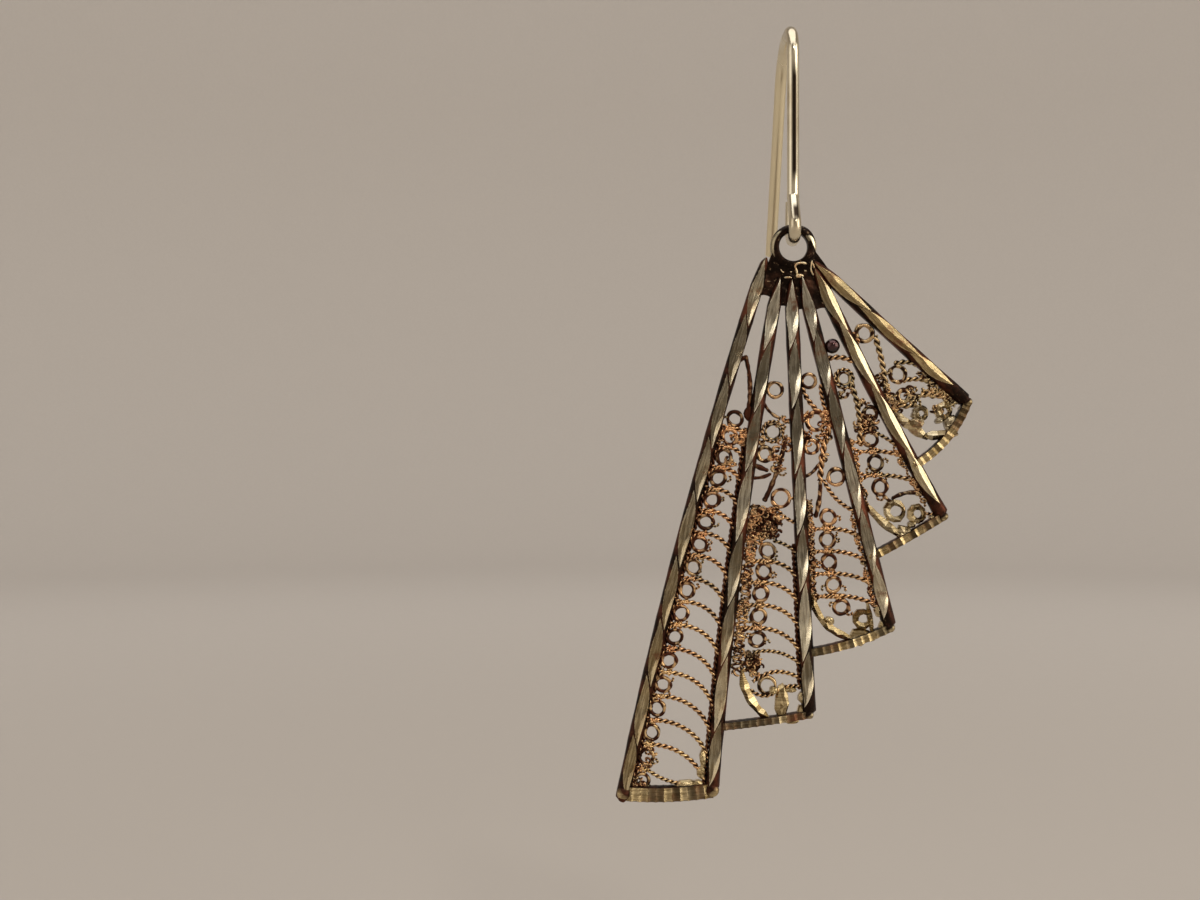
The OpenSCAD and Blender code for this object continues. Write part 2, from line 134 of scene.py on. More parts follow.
# Bowed wires: panel, from, to, bow, width, and what each is: two strands laid round each other, one
# drawn wire, bright or dark, or a cut band
WIRES = [
    (0, (0.00, 0.213), (0.32, 0.196), 0.00, 1.2, "dark"),
    (0, (0.32, 0.193), (0.77, 0.293), -0.06, 1.3, "dark"),
    (0, (0.22, 0.934), (0.80, 0.960), 0.10, 1.1, "laid"),
    (1, (0.08, 0.262), (0.60, 0.306), 0.16, 1.0, "drawn"),
    (1, (0.74, 0.340), (0.36, 0.455), -0.04, 2.0, "dark"),
    (1, (0.00, 0.386), (0.40, 0.400), 0.00, 1.3, "dark"),
    (1, (0.00, 0.411), (0.46, 0.405), 0.10, 1.0, "drawn"),
    (1, (0.57, 0.463), (0.90, 0.492), 0.10, 1.1, "laid"),
    (1, (0.55, 0.525), (0.92, 0.548), -0.08, 1.1, "laid"),
    (1, (0.34, 0.725), (0.92, 0.745), -0.12, 1.1, "laid"),
    (1, (0.36, 0.778), (0.92, 0.772), -0.18, 1.2, "laid"),
    (1, (0.34, 0.792), (0.66, 0.792), 0.22, 1.1, "laid"),
    (1, (0.62, 0.795), (0.92, 0.786), -0.10, 1.1, "laid"),
    (1, (0.22, 0.755), (0.58, 0.845), 0.13, 2.0, "band"),
    (2, (0.14, 0.236), (0.72, 0.302), 0.10, 1.4, "laid"),
    (2, (0.78, 0.245), (0.80, 0.300), 0.06, 1.2, "laid"),
    (2, (0.43, 0.336), (0.58, 0.356), 0.00, 1.0, "laid"),
    (2, (0.82, 0.318), (0.40, 0.418), 0.05, 1.8, "laid"),
    (2, (0.40, 0.418), (0.24, 0.484), -0.04, 1.3, "drawn"),
    (2, (0.06, 0.412), (0.40, 0.388), 0.12, 1.0, "drawn"),
    (2, (0.46, 0.416), (0.94, 0.474), 0.10, 1.2, "laid"),
    (2, (0.80, 0.636), (0.78, 0.695), 0.00, 1.3, "band"),
    (2, (0.10, 0.622), (0.54, 0.700), 0.16, 1.9, "band"),
    (3, (0.04, 0.202), (0.96, 0.214), -0.16, 1.5, "laid"),
    (3, (0.55, 0.240), (0.28, 0.350), -0.06, 1.6, "laid"),
    (3, (0.00, 0.345), (0.45, 0.352), 0.00, 1.0, "laid"),
    (3, (0.60, 0.330), (0.92, 0.362), -0.05, 1.1, "laid"),
    (3, (0.46, 0.450), (0.94, 0.443), -0.12, 1.2, "drawn"),
    (3, (0.36, 0.440), (0.46, 0.456), 0.10, 1.0, "drawn"),
    (3, (0.08, 0.455), (0.46, 0.522), 0.06, 2.0, "band"),
    (4, (0.62, 0.158), (0.16, 0.254), -0.03, 1.7, "laid"),
    (4, (0.26, 0.222), (0.38, 0.228), 0.00, 1.2, "laid"),
    (4, (0.54, 0.208), (0.86, 0.234), -0.20, 1.4, "laid"),
    (4, (0.46, 0.239), (0.86, 0.248), -0.12, 1.4, "laid"),
    (4, (0.40, 0.272), (0.80, 0.270), -0.14, 1.6, "laid"),
    (4, (0.14, 0.262), (0.40, 0.280), 0.22, 1.5, "laid"),
    (4, (0.06, 0.290), (0.26, 0.342), 0.02, 2.2, "band"),
    (4, (0.22, 0.338), (0.57, 0.334), 0.00, 2.2, "band"),
]

# Edge wires: panel, side, from, to, width
EDGES = [
    (0, 0, 0.315, 0.960, 1.2),
    (0, 1, 0.325, 0.968, 1.2),
    (1, 0, 0.458, 0.762, 3.5),
    (1, 1, 0.530, 0.790, 1.2),
    (2, 0, 0.452, 0.650, 1.9),
    (2, 1, 0.470, 0.650, 1.5),
    (3, 0, 0.345, 0.463, 1.3),
    (3, 1, 0.345, 0.455, 1.5),
    (4, 0, 0.236, 0.308, 2.9),
    (4, 1, 0.210, 0.270, 1.9),
]

# Solder: panel, place, width, height, and its finish: dark, copper, gold, or a tangle of wire
GRAINS = [
    (0, (0.86, 0.297), 0.75, 0.85, "dark"),
    (0, (0.72, 0.967), 1.60, 0.80, "gold"),
    (1, (0.40, 0.495), 1.85, 2.00, "tangle"),
    (1, (0.35, 0.745), 1.10, 1.30, "tangle"),
    (1, (0.70, 0.815), 0.75, 1.90, "gold"),
    (2, (0.77, 0.308), 0.85, 0.95, "copper"),
    (2, (0.20, 0.342), 0.80, 0.70, "copper"),
    (2, (0.62, 0.697), 1.20, 0.90, "gold"),
    (3, (0.53, 0.317), 1.10, 1.20, "tangle"),
    (3, (0.44, 0.510), 0.80, 0.80, "gold"),
    (4, (0.12, 0.164), 0.50, 0.70, "copper"),
    (4, (0.25, 0.315), 0.85, 0.75, "gold"),
    (4, (0.60, 0.316), 0.95, 1.00, "gold"),
]
# Pale solder that ran between the last rings and the strips: panel, place, width, height in mm
RUNOFF = [
    (0, (0.86, 0.915), 0.50, 1.30),
    (0, (0.86, 0.940), 0.60, 0.90),
    (0, (0.84, 0.960), 0.90, 0.60),
    (1, (0.60, 0.792), 0.55, 0.60),
    (1, (0.93, 0.806), 0.60, 0.90),
    (1, (0.92, 0.832), 0.70, 1.00),
    (1, (0.80, 0.848), 1.00, 0.45),
    (1, (0.80, 0.792), 0.90, 0.40),
    (1, (0.52, 0.848), 0.80, 0.50),
    (2, (0.92, 0.650), 0.60, 0.90),
    (2, (0.93, 0.678), 0.70, 0.90),
    (2, (0.48, 0.712), 0.90, 0.50),
    (2, (0.30, 0.668), 0.70, 0.60),
    (2, (0.74, 0.698), 0.80, 0.60),
    (3, (0.57, 0.496), 0.60, 0.50),
    (3, (0.86, 0.486), 0.55, 0.60),
    (4, (0.30, 0.300), 0.60, 0.65),
    (4, (0.86, 0.292), 0.70, 0.80),
    (4, (0.50, 0.310), 0.60, 0.50),
]
# Loose curls of fine wire caught between the rings: panel, place, spread in mm, and how many
SCRAPS = [
    (0, (0.17, 0.958), 0.9, 10),
    (0, (0.20, 0.925), 0.5, 5),
    (0, (0.22, 0.900), 0.5, 5),
    (0, (0.62, 0.335), 0.9, 8),
    (0, (0.80, 0.345), 0.7, 6),
    (0, (0.55, 0.385), 0.7, 5),
    (1, (0.66, 0.312), 0.8, 7),
    (1, (0.72, 0.352), 0.7, 6),
    (1, (0.50, 0.372), 0.8, 7),
    (1, (0.62, 0.395), 0.7, 6),
    (1, (0.25, 0.345), 0.5, 4),
    (2, (0.30, 0.305), 0.5, 4),
    (2, (0.66, 0.335), 0.6, 5),
    (2, (0.55, 0.375), 0.5, 4),
    (3, (0.30, 0.262), 0.5, 4),
    (3, (0.62, 0.285), 0.7, 6),
    (4, (0.42, 0.272), 0.5, 6),
    (4, (0.45, 0.262), 0.7, 6),
    (4, (0.68, 0.258), 0.8, 7),
    (4, (0.55, 0.292), 0.6, 6),
    (4, (0.80, 0.282), 0.6, 5),
]
# Rings that the pale solder ran round: panel and place
DROWNED = [
    (2, (0.70, 0.665)),
    (3, (0.44, 0.472)),
    (3, (0.70, 0.477)),
    (4, (0.37, 0.297)),
    (4, (0.64, 0.293)),
]
BALL_PANEL = 3
BALL_AT = (0.41, 0.177)


# ---- Places in the fan's plane, as [across, up] from the eye's centre ----
def mix(a, b, t):
    return a + (b - a) * t


def bow_rise(t):
    return 4 * t * (1 - t)


def smooth_share(x, low, high):
    t = np.clip((x - low) / (high - low), 0, 1)
    return t * t * (3 - 2 * t)


def stack(*parts):
    """Numbers and arrays spread over one shape and joined as the coordinates of points."""
    return np.stack(np.broadcast_arrays(*parts), -1)


def columns(count, *parts):
    """Columns side by side, where a bare number fills its column."""
    return np.column_stack([part if np.ndim(part) else np.full(count, float(part)) for part in parts])


def joined(rows):
    """Rows that go round, with the first one again at their end."""
    return np.concatenate([rows, rows[:1]])


def around(count):
    """Angles evenly spaced over a full turn."""
    return np.linspace(0, 2 * math.pi, count, endpoint=False)


def ray(angle, length=1.0):
    """Step of a length in the fan's plane, at an angle from the right."""
    return stack(length * np.cos(angle), length * np.sin(angle))


def left_of(v):
    return stack(-v[..., 1], v[..., 0])


def rib_at(i, t):
    """Place on a rib's centreline at a share of its length."""
    top, foot, bow = RIBS[i]
    across = FAN_W * (mix(top[0], foot[0], t) + bow * bow_rise(t))
    return stack(across, -FAN_H * mix(top[1], foot[1], t))


def rib_share(i, down):
    top, foot, _ = RIBS[i]
    return (down - top[1]) / (foot[1] - top[1])


def rib_level(i, down):
    return rib_at(i, rib_share(i, down))


def spot(p, at):
    """Place in a panel, at a share across it and a share down the fan."""
    return mix(rib_level(p, at[1]), rib_level(p + 1, at[1]), at[0])


def bowed(a, b, bow, steps=24):
    """Curve between two places, bowed to the right of the way along it."""
    t = np.linspace(0, 1, steps + 1)[:, None]
    return mix(a, b, t) - left_of(b - a) * bow * bow_rise(t)


def run_of(path):
    """Distance along a path at each of its points."""
    steps = np.linalg.norm(np.diff(path, axis=0), axis=1)
    return np.concatenate([[0], np.cumsum(steps)])


def paced(path, count):
    """The same path with evenly spaced points."""
    run = run_of(path)
    at = np.linspace(0, run[-1], count + 1)
    return stack(*(np.interp(at, run, line) for line in path.T))


def headings(path, closed=False):
    if closed:
        way = np.roll(path, -1, 0) - np.roll(path, 1, 0)
    else:
        way = np.gradient(path, axis=0)
    return way / np.linalg.norm(way, axis=1)[:, None]


def ripple(points, scale, seed):
    """Smooth unevenness from -1 to 1 at places in mm, with bumps about scale mm apart."""
    rng = np.random.default_rng(seed)
    total = np.zeros(points.shape[:-1])
    waves = 7
    for _ in range(waves):
        way = rng.normal(size=points.shape[-1])
        way *= 2 * math.pi / (scale * rng.uniform(0.8, 1.8)) / np.linalg.norm(way)
        total += np.sin(points @ way + rng.uniform(0, 2 * math.pi))
    return total / (waves / 2)


def rows_for(table, p):
    """A table's rows for one panel, without the panel's number."""
    return [row[1:] for row in table if row[0] == p]


# ---- Skins, gathered for one piece ----
class Skin:
    """Points in mm as [across, depth, up], faces, and the marks that a finish reads."""

    def __init__(self):
        self.points = []
        self.faces = []
        self.marks = {}
        self.count = 0

    def grid(self, points, wrap=False, caps=False, **marks):
        """Quads over rows of points; wrap joins the last column to the first, caps close both ends."""
        rows, wide = points.shape[:2]
        r = np.arange(rows - 1)[:, None] * wide
        c = np.arange(wide if wrap else wide - 1)
        d = (c + 1) % wide
        quads = stack(r + c, r + wide + c, r + wide + d, r + d).reshape(-1, 4)
        flat = points.reshape(-1, 3)
        corners = flat[quads]
        area = np.cross(corners[:, 2] - corners[:, 0], corners[:, 3] - corners[:, 1])
        quads = quads[np.linalg.norm(area, axis=1) > NO_AREA]
        for name in {**self.marks, **marks}:
            size = (3,) if name == "lay" else ()
            value = np.broadcast_to(np.asarray(marks.get(name, 0.0), float), (rows, wide) + size)
            known = self.marks.setdefault(name, [np.zeros((self.count,) + size)])
            known.append(value.reshape((-1,) + size))
        self.points.append(flat)
        self.faces += (quads + self.count).tolist()
        if caps:
            last = self.count + (rows - 1) * wide
            self.faces.append(list(range(self.count, self.count + wide)))
            self.faces.append(list(range(last + wide - 1, last - 1, -1)))
        self.count += len(flat)

    def build(self, name, finish, middle=(0, 0, 0)):
        """The smooth-shaded object of this skin, with its marks and one finish."""
        mesh = bpy.data.meshes.new(name)
        points = np.concatenate(self.points) + middle
        mesh.from_pydata((points * MM).tolist(), [], self.faces)
        for mark, values in self.marks.items():
            kind, held = ("FLOAT_VECTOR", "vector") if mark == "lay" else ("FLOAT", "value")
            mesh.attributes.new(mark, kind, "POINT").data.foreach_set(held, np.concatenate(values).ravel())
        mesh.polygons.foreach_set("use_smooth", [True] * len(mesh.polygons))
        mesh.materials.append(finish)
        mesh.validate()
        thing = bpy.data.objects.new(name, mesh)
        bpy.context.scene.collection.objects.link(thing)
        return thing


def make(metal, name, finish):
    """The object of one piece of the drop, which rides with it and stands for its solid."""
    piece = metal.build(name, finish, (0, HANG_Y, EYE_Z))
    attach(piece, "drop")
    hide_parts("fan_drop")


def section(place, heading, step, depth):
    """Points of cross-sections: rows of places, with a side step and a depth for each column."""
    flat = place[:, None, :] + left_of(heading)[:, None, :] * step[..., None]
    return stack(flat[..., 0], depth, flat[..., 1])


# ---- Ribs: a domed bar of dark metal with a chain of leaf-shaped cuts along its front ----
# Each rib's leaves, as shares of its half width: upper tip, lower tip, reach to the left and to the
# right, how much of the leaf its lit facet takes (the facet that gets the painted highlight tones of
# LIT), where along the leaf that facet opens, and how golden the rib is
LEAVES = [
    (-0.45, 0.50, -0.90, 0.97, 0.46, -0.20, 0.35),
    (0.35, -0.50, -0.97, 0.84, 0.46, -0.20, 0.15),
    (0.25, -0.72, -0.97, 0.86, 0.50, -0.35, 0.05),
    (0.15, -0.66, -0.97, 0.86, 0.46, -0.10, 0.10),
    (-0.25, 0.42, -0.95, 0.88, 0.46, -0.80, 0.55),
    (-0.40, 0.40, -0.90, 0.90, 0.48, -0.85, 0.85),
]
# Lowest and highest tone of each rib's lit facets, a painted highlight, and of all the other side's
# facets, painted shade
LIT = [(0.60, 0.95), (0.60, 0.92), (0.62, 0.95), (0.55, 0.90), (0.35, 0.80), (0.25, 0.80)]
UNLIT = (0.0, 0.45)
# Dark length left at each rib's foot, in mm
FOOT_LEN = [0.4, 0.3, 0.5, 0.7, 0.9, 1.5]
# Length of a leaf, the share of it that its neighbours overlap, and its worn rim's width
LEAF_LEN = 4.2
LEAF_OVER = 0.17
LEAF_RIM = 0.05


def dome(a):
    """Depth of an uncut rib's front at a side step from -1 to 1 of its half width."""
    return WALL + (RIDGE - WALL) * np.clip(1 - a * a, 0, 1) ** 0.7


def between(a, b):
    return stack(*(mix(a, b, share) for share in (0, 0.33, 0.67, 1)))


def rib(i, finish):
    metal = Skin()
    rng = np.random.default_rng(40 + i)
    up, down, reach_left, reach_right, bright, opens, gold = LEAVES[i]
    turned = -1 if down > up else 1
    reach = sorted((reach_left * turned, reach_right * turned))
    length = float(np.linalg.norm(rib_at(i, 1) - rib_at(i, 0)))
    leaves = max(2, round(length / LEAF_LEN))
    pitch = length / leaves
    joints = np.arange(leaves + 1) * pitch
    joints[1:-1] += rng.uniform(-0.07, 0.07, leaves - 1) * pitch
    starts = joints[:-1] - LEAF_OVER / 2 * pitch
    ends = joints[1:] + LEAF_OVER / 2 * pitch
    starts[0], ends[-1] = 0, length - FOOT_LEN[i]
    sizes = rng.uniform(0.86, 1.0, leaves)
    tones = rng.uniform(0, 1, (leaves, 2))

    def leaf(s, j):
        """Left edge, ridge and right edge of a leaf, and how wide open it is."""
        x = np.clip((2 * s - starts[j] - ends[j]) / (ends[j] - starts[j]), -1, 1)
        w = 1 - np.abs(x) ** 1.7
        middle = mix(up, down, (x + 1) / 2) * turned
        left = mix(middle, reach[0] * sizes[j], w)
        right = mix(middle, reach[1] * sizes[j], w)
        share = bright * smooth_share(x, opens, opens + 0.75) * (right - left)
        return left, right - share if turned > 0 else left + share, right, w

    for j in range(leaves):
        start = 0 if j == 0 else ends[j - 1]
        stop = ends[j] if j + 1 < leaves else length
        s = np.linspace(start, stop, max(4, round((stop - start) / RIB_ROW)) + 1)
        left, ridge, right, w = leaf(s, j)
        next_left = next_ridge = next_right = right
        next_w = 0 * w
        if j + 1 < leaves:
            edge, *after, next_w = leaf(s, j + 1)
            closed = s < starts[j + 1]
            edge = np.where(closed, np.maximum(right, edge), edge)
            meet = (edge < right) & ~closed
            line = (edge + right) / 2
            right = np.where(meet, line, right)
            left, ridge = np.minimum(left, right), np.minimum(ridge, right)
            next_left = np.where(meet, line, edge)
            next_ridge, next_right = (
                np.maximum(next_left, np.where(closed, next_left, v)) for v in after
            )
            next_w = np.where(closed, 0, next_w)
        half = RIB_W / 2 * (0.5 + 0.5 * np.clip(s / CUT_LEN, 0, 1))
        half = half * (np.clip(s / 0.3, 0.12, 1) * np.clip((length - s) / 0.25, 0.2, 1)) ** 0.5
        half = half * (1 - 0.05 * np.maximum(w, next_w))
        wander = 0.03 * ripple(stack(s, i), 1.9, 7 + i)
        place = rib_at(i, s / length)
        heading = headings(place)

        def skin(a, depth, **marks):
            step = a * turned * half[:, None] * (1 - np.abs(wander))[:, None]
            if turned < 0:
                step, depth = step[:, ::-1], np.broadcast_to(depth, step.shape)[:, ::-1]
            lay = stack(s[:, None], step, 3.0 * i)
            metal.grid(section(place, heading, step, depth), lay=lay, gold=gold, **marks)

        count = len(s)
        flank = between(-1, left)
        front = dome(flank)
        skin(columns(count, -0.9, -1, -1, flank[:, 1:]),
             columns(count, BACK, BACK - RIB_BEVEL, WALL, front[:, 1:]), cut=0)
        wedge = between(right, next_left)
        skin(wedge, dome(wedge), cut=0)
        flank = between(next_right, 1)
        front = dome(flank)
        skin(columns(count, flank[:, :-1], 1, 1, 0.9),
             columns(count, front[:, :-1], WALL, BACK - RIB_BEVEL, BACK), cut=0)
        skin(between(0.9, -0.9), BACK, cut=0.6, tone=BACK_TONE)
        facets = [(left, ridge, 0, j), (ridge, right, 1, j)]
        if j + 1 < leaves:
            facets += [(next_left, next_ridge, 0, j + 1), (next_ridge, next_right, 1, j + 1)]
        for a0, a1, side, k in facets:
            a1 = np.maximum(a0, a1)
            # Facets on one side take the LIT tones as a painted highlight, and the other side's take the
            # UNLIT tones as painted shade; within each side the tone differs at random from leaf to leaf
            lit = (side == 1) == (turned > 0)
            tone = mix(*LIT[i], tones[k, 1]) if lit else mix(*UNLIT, tones[k, 0])
            rim = np.minimum(LEAF_RIM / half, (a1 - a0) / 3)
            a = stack(a0, a0 + rim, mix(a0, a1, 0.5), a1 - rim, a1)
            share = (a - a0[:, None]) / np.maximum(a1 - a0, 1e-6)[:, None]
            depth = mix(dome(a0)[:, None], dome(a1)[:, None], share)
            skin(a, depth, cut=1, tone=tone, rim=np.array([1, 0, 0, 0, 1.0]))
    make(metal, f"rib_{i + 1}", finish)


# ---- Strips: cut across their length, with a blunt corner at each end ----
# A corner's rings, back to front: share of its half width, depth, whether it stands proud, how cut
CORNER_RINGS = [
    (0.96, BACK - 0.03, 0, 0.0),
    (1.00, BACK - WIRE_BEVEL, 0, 0.0),
    (1.00, WALL, 0, 0.2),
    (0.93, -0.22, 1, 0.8),
    (0.66, -0.36, 1, 0.9),
    (0.02, STRIP_CREST, 1, 0.3),
]
CORNER_SIDES = 18
CORNER_PROUD = 0.06
# Each strip's finish: how often a flute is left dark, its lowest and highest tone, how golden it is,
# and the share of it that stays dark towards the right rib's foot
FLUTE_LOOKS = [
    (0.30, 0.05, 0.62, 0.50, 0.0),
    (0.70, 0.00, 0.30, 0.35, 0.2),
    (0.40, 0.00, 0.42, 0.55, 0.0),
    (0.35, 0.05, 0.50, 0.80, 0.1),
    (0.40, 0.05, 0.62, 0.90, 0.42),
]


def strip_path(p):
    _, left_down, _, sag = PANELS[p]
    return bowed(rib_at(p, left_down), rib_at(p + 1, 1), sag, 60)


def corner(metal, at, wide, outward, proud, gold, seed):
    """A blunt corner where a strip meets a rib's foot, filed pale on its outer side."""
    rng = np.random.default_rng(seed)
    angle = around(CORNER_SIDES)
    share, depth, lifts, filed = np.array(CORNER_RINGS).T[:, :, None]
    radius = share * wide / 2 * (1 + 0.02 * np.sin(3 * angle + seed))
    rows = stack(at[0] + radius * np.cos(angle), depth - lifts * proud, at[1] + radius * np.sin(angle))
    shade = np.repeat(rng.uniform(0, 1, CORNER_SIDES // 3), 3)
    cut = filed * np.clip(0.35 + 1.3 * np.cos(angle - outward), 0, 1)
    lay = stack(rows[..., 0], rows[..., 2], float(seed))
    metal.grid(rows, wrap=True, caps=True, cut=cut, tone=0.15 + 0.5 * shade, gold=gold, lay=lay)


def strip(p, finish):
    metal = Skin()
    left_dark, low, high, gold, dull = FLUTE_LOOKS[p]
    rng = np.random.default_rng(70 + p)
    wide = STRIP_W * PANELS[p][2]
    flutes = max(3, round(run_of(strip_path(p))[-1] / FLUTE_LEN))
    path = paced(strip_path(p), flutes * FLUTE_ROWS)
    heading = headings(path)
    s = run_of(path)
    hollow = np.abs(np.sin(math.pi * s / s[-1] * flutes))
    edge = wide / 2 * (1 - 0.05 * hollow)
    front = STRIP_CREST + FLUTE_DEEP * hollow

    def skin(rows, shares, depth, **marks):
        step = edge[rows, None] * np.array(shares)
        lay = stack(s[rows, None], step, 9.0 + p)
        metal.grid(section(path[rows], heading[rows], step, depth), lay=lay, gold=gold, **marks)

    every = slice(None)
    wall = columns(len(s), BACK - 0.02, BACK - WIRE_BEVEL, WALL, front)
    skin(every, [-0.9, -1, -1, -0.84], wall, cut=0.0)
    skin(every, [0.84, 1, 1, 0.9], wall[:, ::-1], cut=0.0)
    skin(every, [0.9, -0.9], BACK - 0.02, cut=0.6, tone=BACK_TONE)
    for k in range(flutes):
        rows = slice(k * FLUTE_ROWS, (k + 1) * FLUTE_ROWS + 1)
        tone = mix(low, high, rng.uniform(0, 1) if p else (rng.uniform(0, 0.5) + 0.5 * (k % 2)))
        cut = 1.0 if rng.uniform() > left_dark and k < (1 - dull) * flutes else 0.30
        rim = np.array([1, 0, 0, 0, 0, 1.0])[:, None]
        skin(rows, [-0.84, -0.5, 0.0, 0.5, 0.84], front[rows, None], cut=cut, tone=tone, rim=rim)
    knob = min(wide, RIB_W)
    corner(metal, path[0], knob, -2.3, 0 if p else CORNER_PROUD, gold, 2 * p + 1)
    corner(metal, path[-1], knob, -0.9, CORNER_PROUD, gold, 2 * p + 2)
    make(metal, f"strip_{p + 1}", finish)


# ---- Filigree wire: two fine strands laid round each other, rolled a little flat ----
STRAND_SIDES = 6
LAY_LEN = 2.3
LAY_STEPS = 9
# As shares of the wire's width: a strand's distance from the wire's middle, and its thickness
STRAND_OUT = 0.225
STRAND_HALF = 0.275
# Points round a single drawn wire, and the distance between its rows of points
DRAWN_SIDES = 8
DRAWN_ROW = 0.1


def laid_wire(metal, path, wide, warm, closed=False, worn=1.0, seed=0):
    """Two strands along a path in the fan's plane, wide mm across and as deep as the filigree."""
    path = joined(path) if closed else path
    length = run_of(path)[-1]
    turns = length / (wide * LAY_LEN)
    turns = max(2, round(turns)) if closed else turns
    rows = turns * LAY_STEPS if closed else max(6, round(turns * LAY_STEPS))
    last = rows if closed else rows + 1
    places = paced(path, rows)[:last]
    s = np.arange(last) / rows
    heading = headings(places, closed)
    out, strand = wide * STRAND_OUT, wide * STRAND_HALF
    angle = around(STRAND_SIDES)
    for k in (0, 1):
        turn = (2 * math.pi * turns * s + math.pi * k + seed)[:, None]
        across = out * np.cos(turn) + strand * np.cos(angle)
        depth = out * np.sin(turn) + strand * np.sin(angle)
        # crest is 1 on each strand's outer side and falls where the two strands touch; the finish turns it
        # into real wear with a painted highlight outside, and oxide with painted shade where the strands
        # meet
        crest = np.hypot(across, depth) / (out + strand) * worn
        points = section(places, heading, across, WIRE_Y + depth * (WIRE_DEEP / wide))
        lay = stack((s * length)[:, None], across, seed + 5.0 * k)
        if closed:
            points, crest, lay = joined(points), joined(crest), joined(lay)
        metal.grid(points, wrap=True, caps=not closed, crest=crest, warm=warm, lay=lay)


def plain_wire(metal, path, wide, warm, closed=False, worn=1.0, seed=0):
    """A single drawn wire along a path, a little lumpy from the torch."""
    places = path if closed else paced(path, max(4, round(run_of(path)[-1] / DRAWN_ROW)))
    angle = around(DRAWN_SIDES)
    lump = 1 + 0.20 * ripple(places, 0.5, seed)
    if not closed:
        lump[[0, -1]] *= 0.55
    across = wide / 2 * lump[:, None] * np.cos(angle)
    depth = WIRE_DEEP / 2 * np.sin(angle)
    points = section(places, headings(places, closed), across, WIRE_Y + depth)
    crest = np.clip(0.62 + 0.80 * ripple(points, 0.40, seed + 3), 0, 1) * worn
    lay = stack(np.arange(len(places))[:, None] * DRAWN_ROW, across, depth)
    if closed:
        points, crest, lay = joined(points), joined(crest), joined(lay)
    metal.grid(points, wrap=True, caps=not closed, crest=crest, warm=warm, lay=lay)


def curl(metal, at, size, wide, warm, rng, laid=False, worn=1.0):
    """A short end of wire bent into an open loop."""
    begin, span = rng.uniform(0, 6.3), rng.uniform(3.0, 5.9)
    share = np.linspace(0, 1, 14)
    r = size / 2 * (1 - rng.uniform(0, 0.4) * share)
    path = at + ray(begin + span * share, r) * (1, rng.uniform(0.7, 1.0))
    draw = laid_wire if laid else plain_wire
    draw(metal, path, wide, warm * rng.uniform(0.4, 1.4), worn=worn, seed=int(rng.integers(900)))


def knot(metal, at, size, warm, seed):
    """Crossing ends of wire wound tightly where an arch passes between two rings."""
    rng = np.random.default_rng(seed)
    for k, turn in enumerate((0.45, -0.55)):
        reach = ray(turn + rng.uniform(-0.3, 0.3), 0.62 * size)
        laid_wire(metal, np.stack([at - reach, at + reach]), WIRE_W * 0.95, warm, worn=1.2, seed=seed + k)
    off = rng.uniform(-0.3, 0.3, 2) * size
    curl(metal, at + off, size * rng.uniform(0.7, 0.95), WIRE_W * 0.75, warm, rng, laid=True)


def crimped_wire(metal, path, wide, warm, seed):
    """Fine wire bent to and fro beside a rib, with small loops crushed between its bends."""
    rng = np.random.default_rng(300 + seed)
    fine = WIRE_W * 0.66
    length = run_of(path)[-1]
    waves = max(2, round(length / 0.58))
    places = paced(path, waves * 10)
    side = left_of(headings(places))
    reach = max(0.05, (wide - fine) / 2)
    turn = 2 * math.pi * waves * np.linspace(0, 1, len(places))
    drift = 2.4 * ripple(places, 1.3, seed)
    swing = reach * np.sin(turn + drift) * (0.72 + 0.28 * ripple(places, 0.8, seed + 1))
    laid_wire(metal, places + side * swing[:, None], fine, warm, seed=seed)
    if wide > 1.7 * WIRE_W:
        swing = -reach * np.sin(turn + 0.7 * drift)
        plain_wire(metal, places + side * swing[:, None], fine, warm * 0.7, seed=seed)
    for k in range(round(length / 0.27)):
        at = places[rng.integers(2, len(places) - 2)]
        at = at + side[0] * rng.uniform(-0.7, 0.7) * reach
        size = max(0.34, wide * rng.uniform(0.4, 0.75))
        curl(metal, at, size, WIRE_W * 0.62, warm * 1.2, rng, laid=k % 2 == 0, worn=1.2)


def ring_path(at, size, wide, sides=40, dent=0.03, seed=0):
    """Centreline of a ring that isn't quite round."""
    a = around(sides)
    return at + ray(a, (size - wide) / 2 * (1 - dent * (1 + np.sin(2 * a + seed)) / 2))


def tie_bar(metal, place, size, rib_place, warm):
    way = (rib_place - place) / np.linalg.norm(rib_place - place)
    start = place + way * (size / 2 - WIRE_W * (1 - SOLDER_IN))
    laid_wire(metal, np.stack([start, rib_place]), WIRE_W, warm)


def arch(p, start, fall):
    """Path from between two rings over and down to the panel's right rib."""
    down = -start[1] / FAN_H
    level = rib_level(p + 1, down)
    low = down + fall * (level[0] - start[0]) / FAN_H
    end = rib_level(p + 1, low) - (RIB_W * 0.25, 0)
    a = np.linspace(0, math.pi / 2, 25)
    return stack(mix(start[0], end[0], np.sin(a)), mix(end[1], start[1], np.cos(a)))


# ---- Solder: grains, facets and bands ----
def bead(rows, sides, pole):
    """Rows of points over a ball of radius 1, back to front, with a small flat at each pole."""
    tilt = np.linspace(pole, math.pi - pole, rows)[:, None]
    turn = around(sides)
    return stack(np.sin(tilt) * np.cos(turn), np.cos(tilt), -np.sin(tilt) * np.sin(turn))


def blob(metal, at, wide, tall, deep, seed, sink=0.0, **marks):
    """A grain of solder: a lump that ran and set unevenly."""
    ball = bead(9, 14, 0.02)
    swell = 1 + 0.10 * ripple(ball + seed, 1.4, seed) + 0.05 * ripple(ball, 0.6, seed + 1)
    ball = ball * swell[..., None] * (wide / 2, deep / 2, tall / 2)
    ball = ball + (at[0], WIRE_Y - 0.06 + sink, at[1])
    metal.grid(ball, wrap=True, caps=True, lay=ball[..., [0, 2, 1]], **marks)


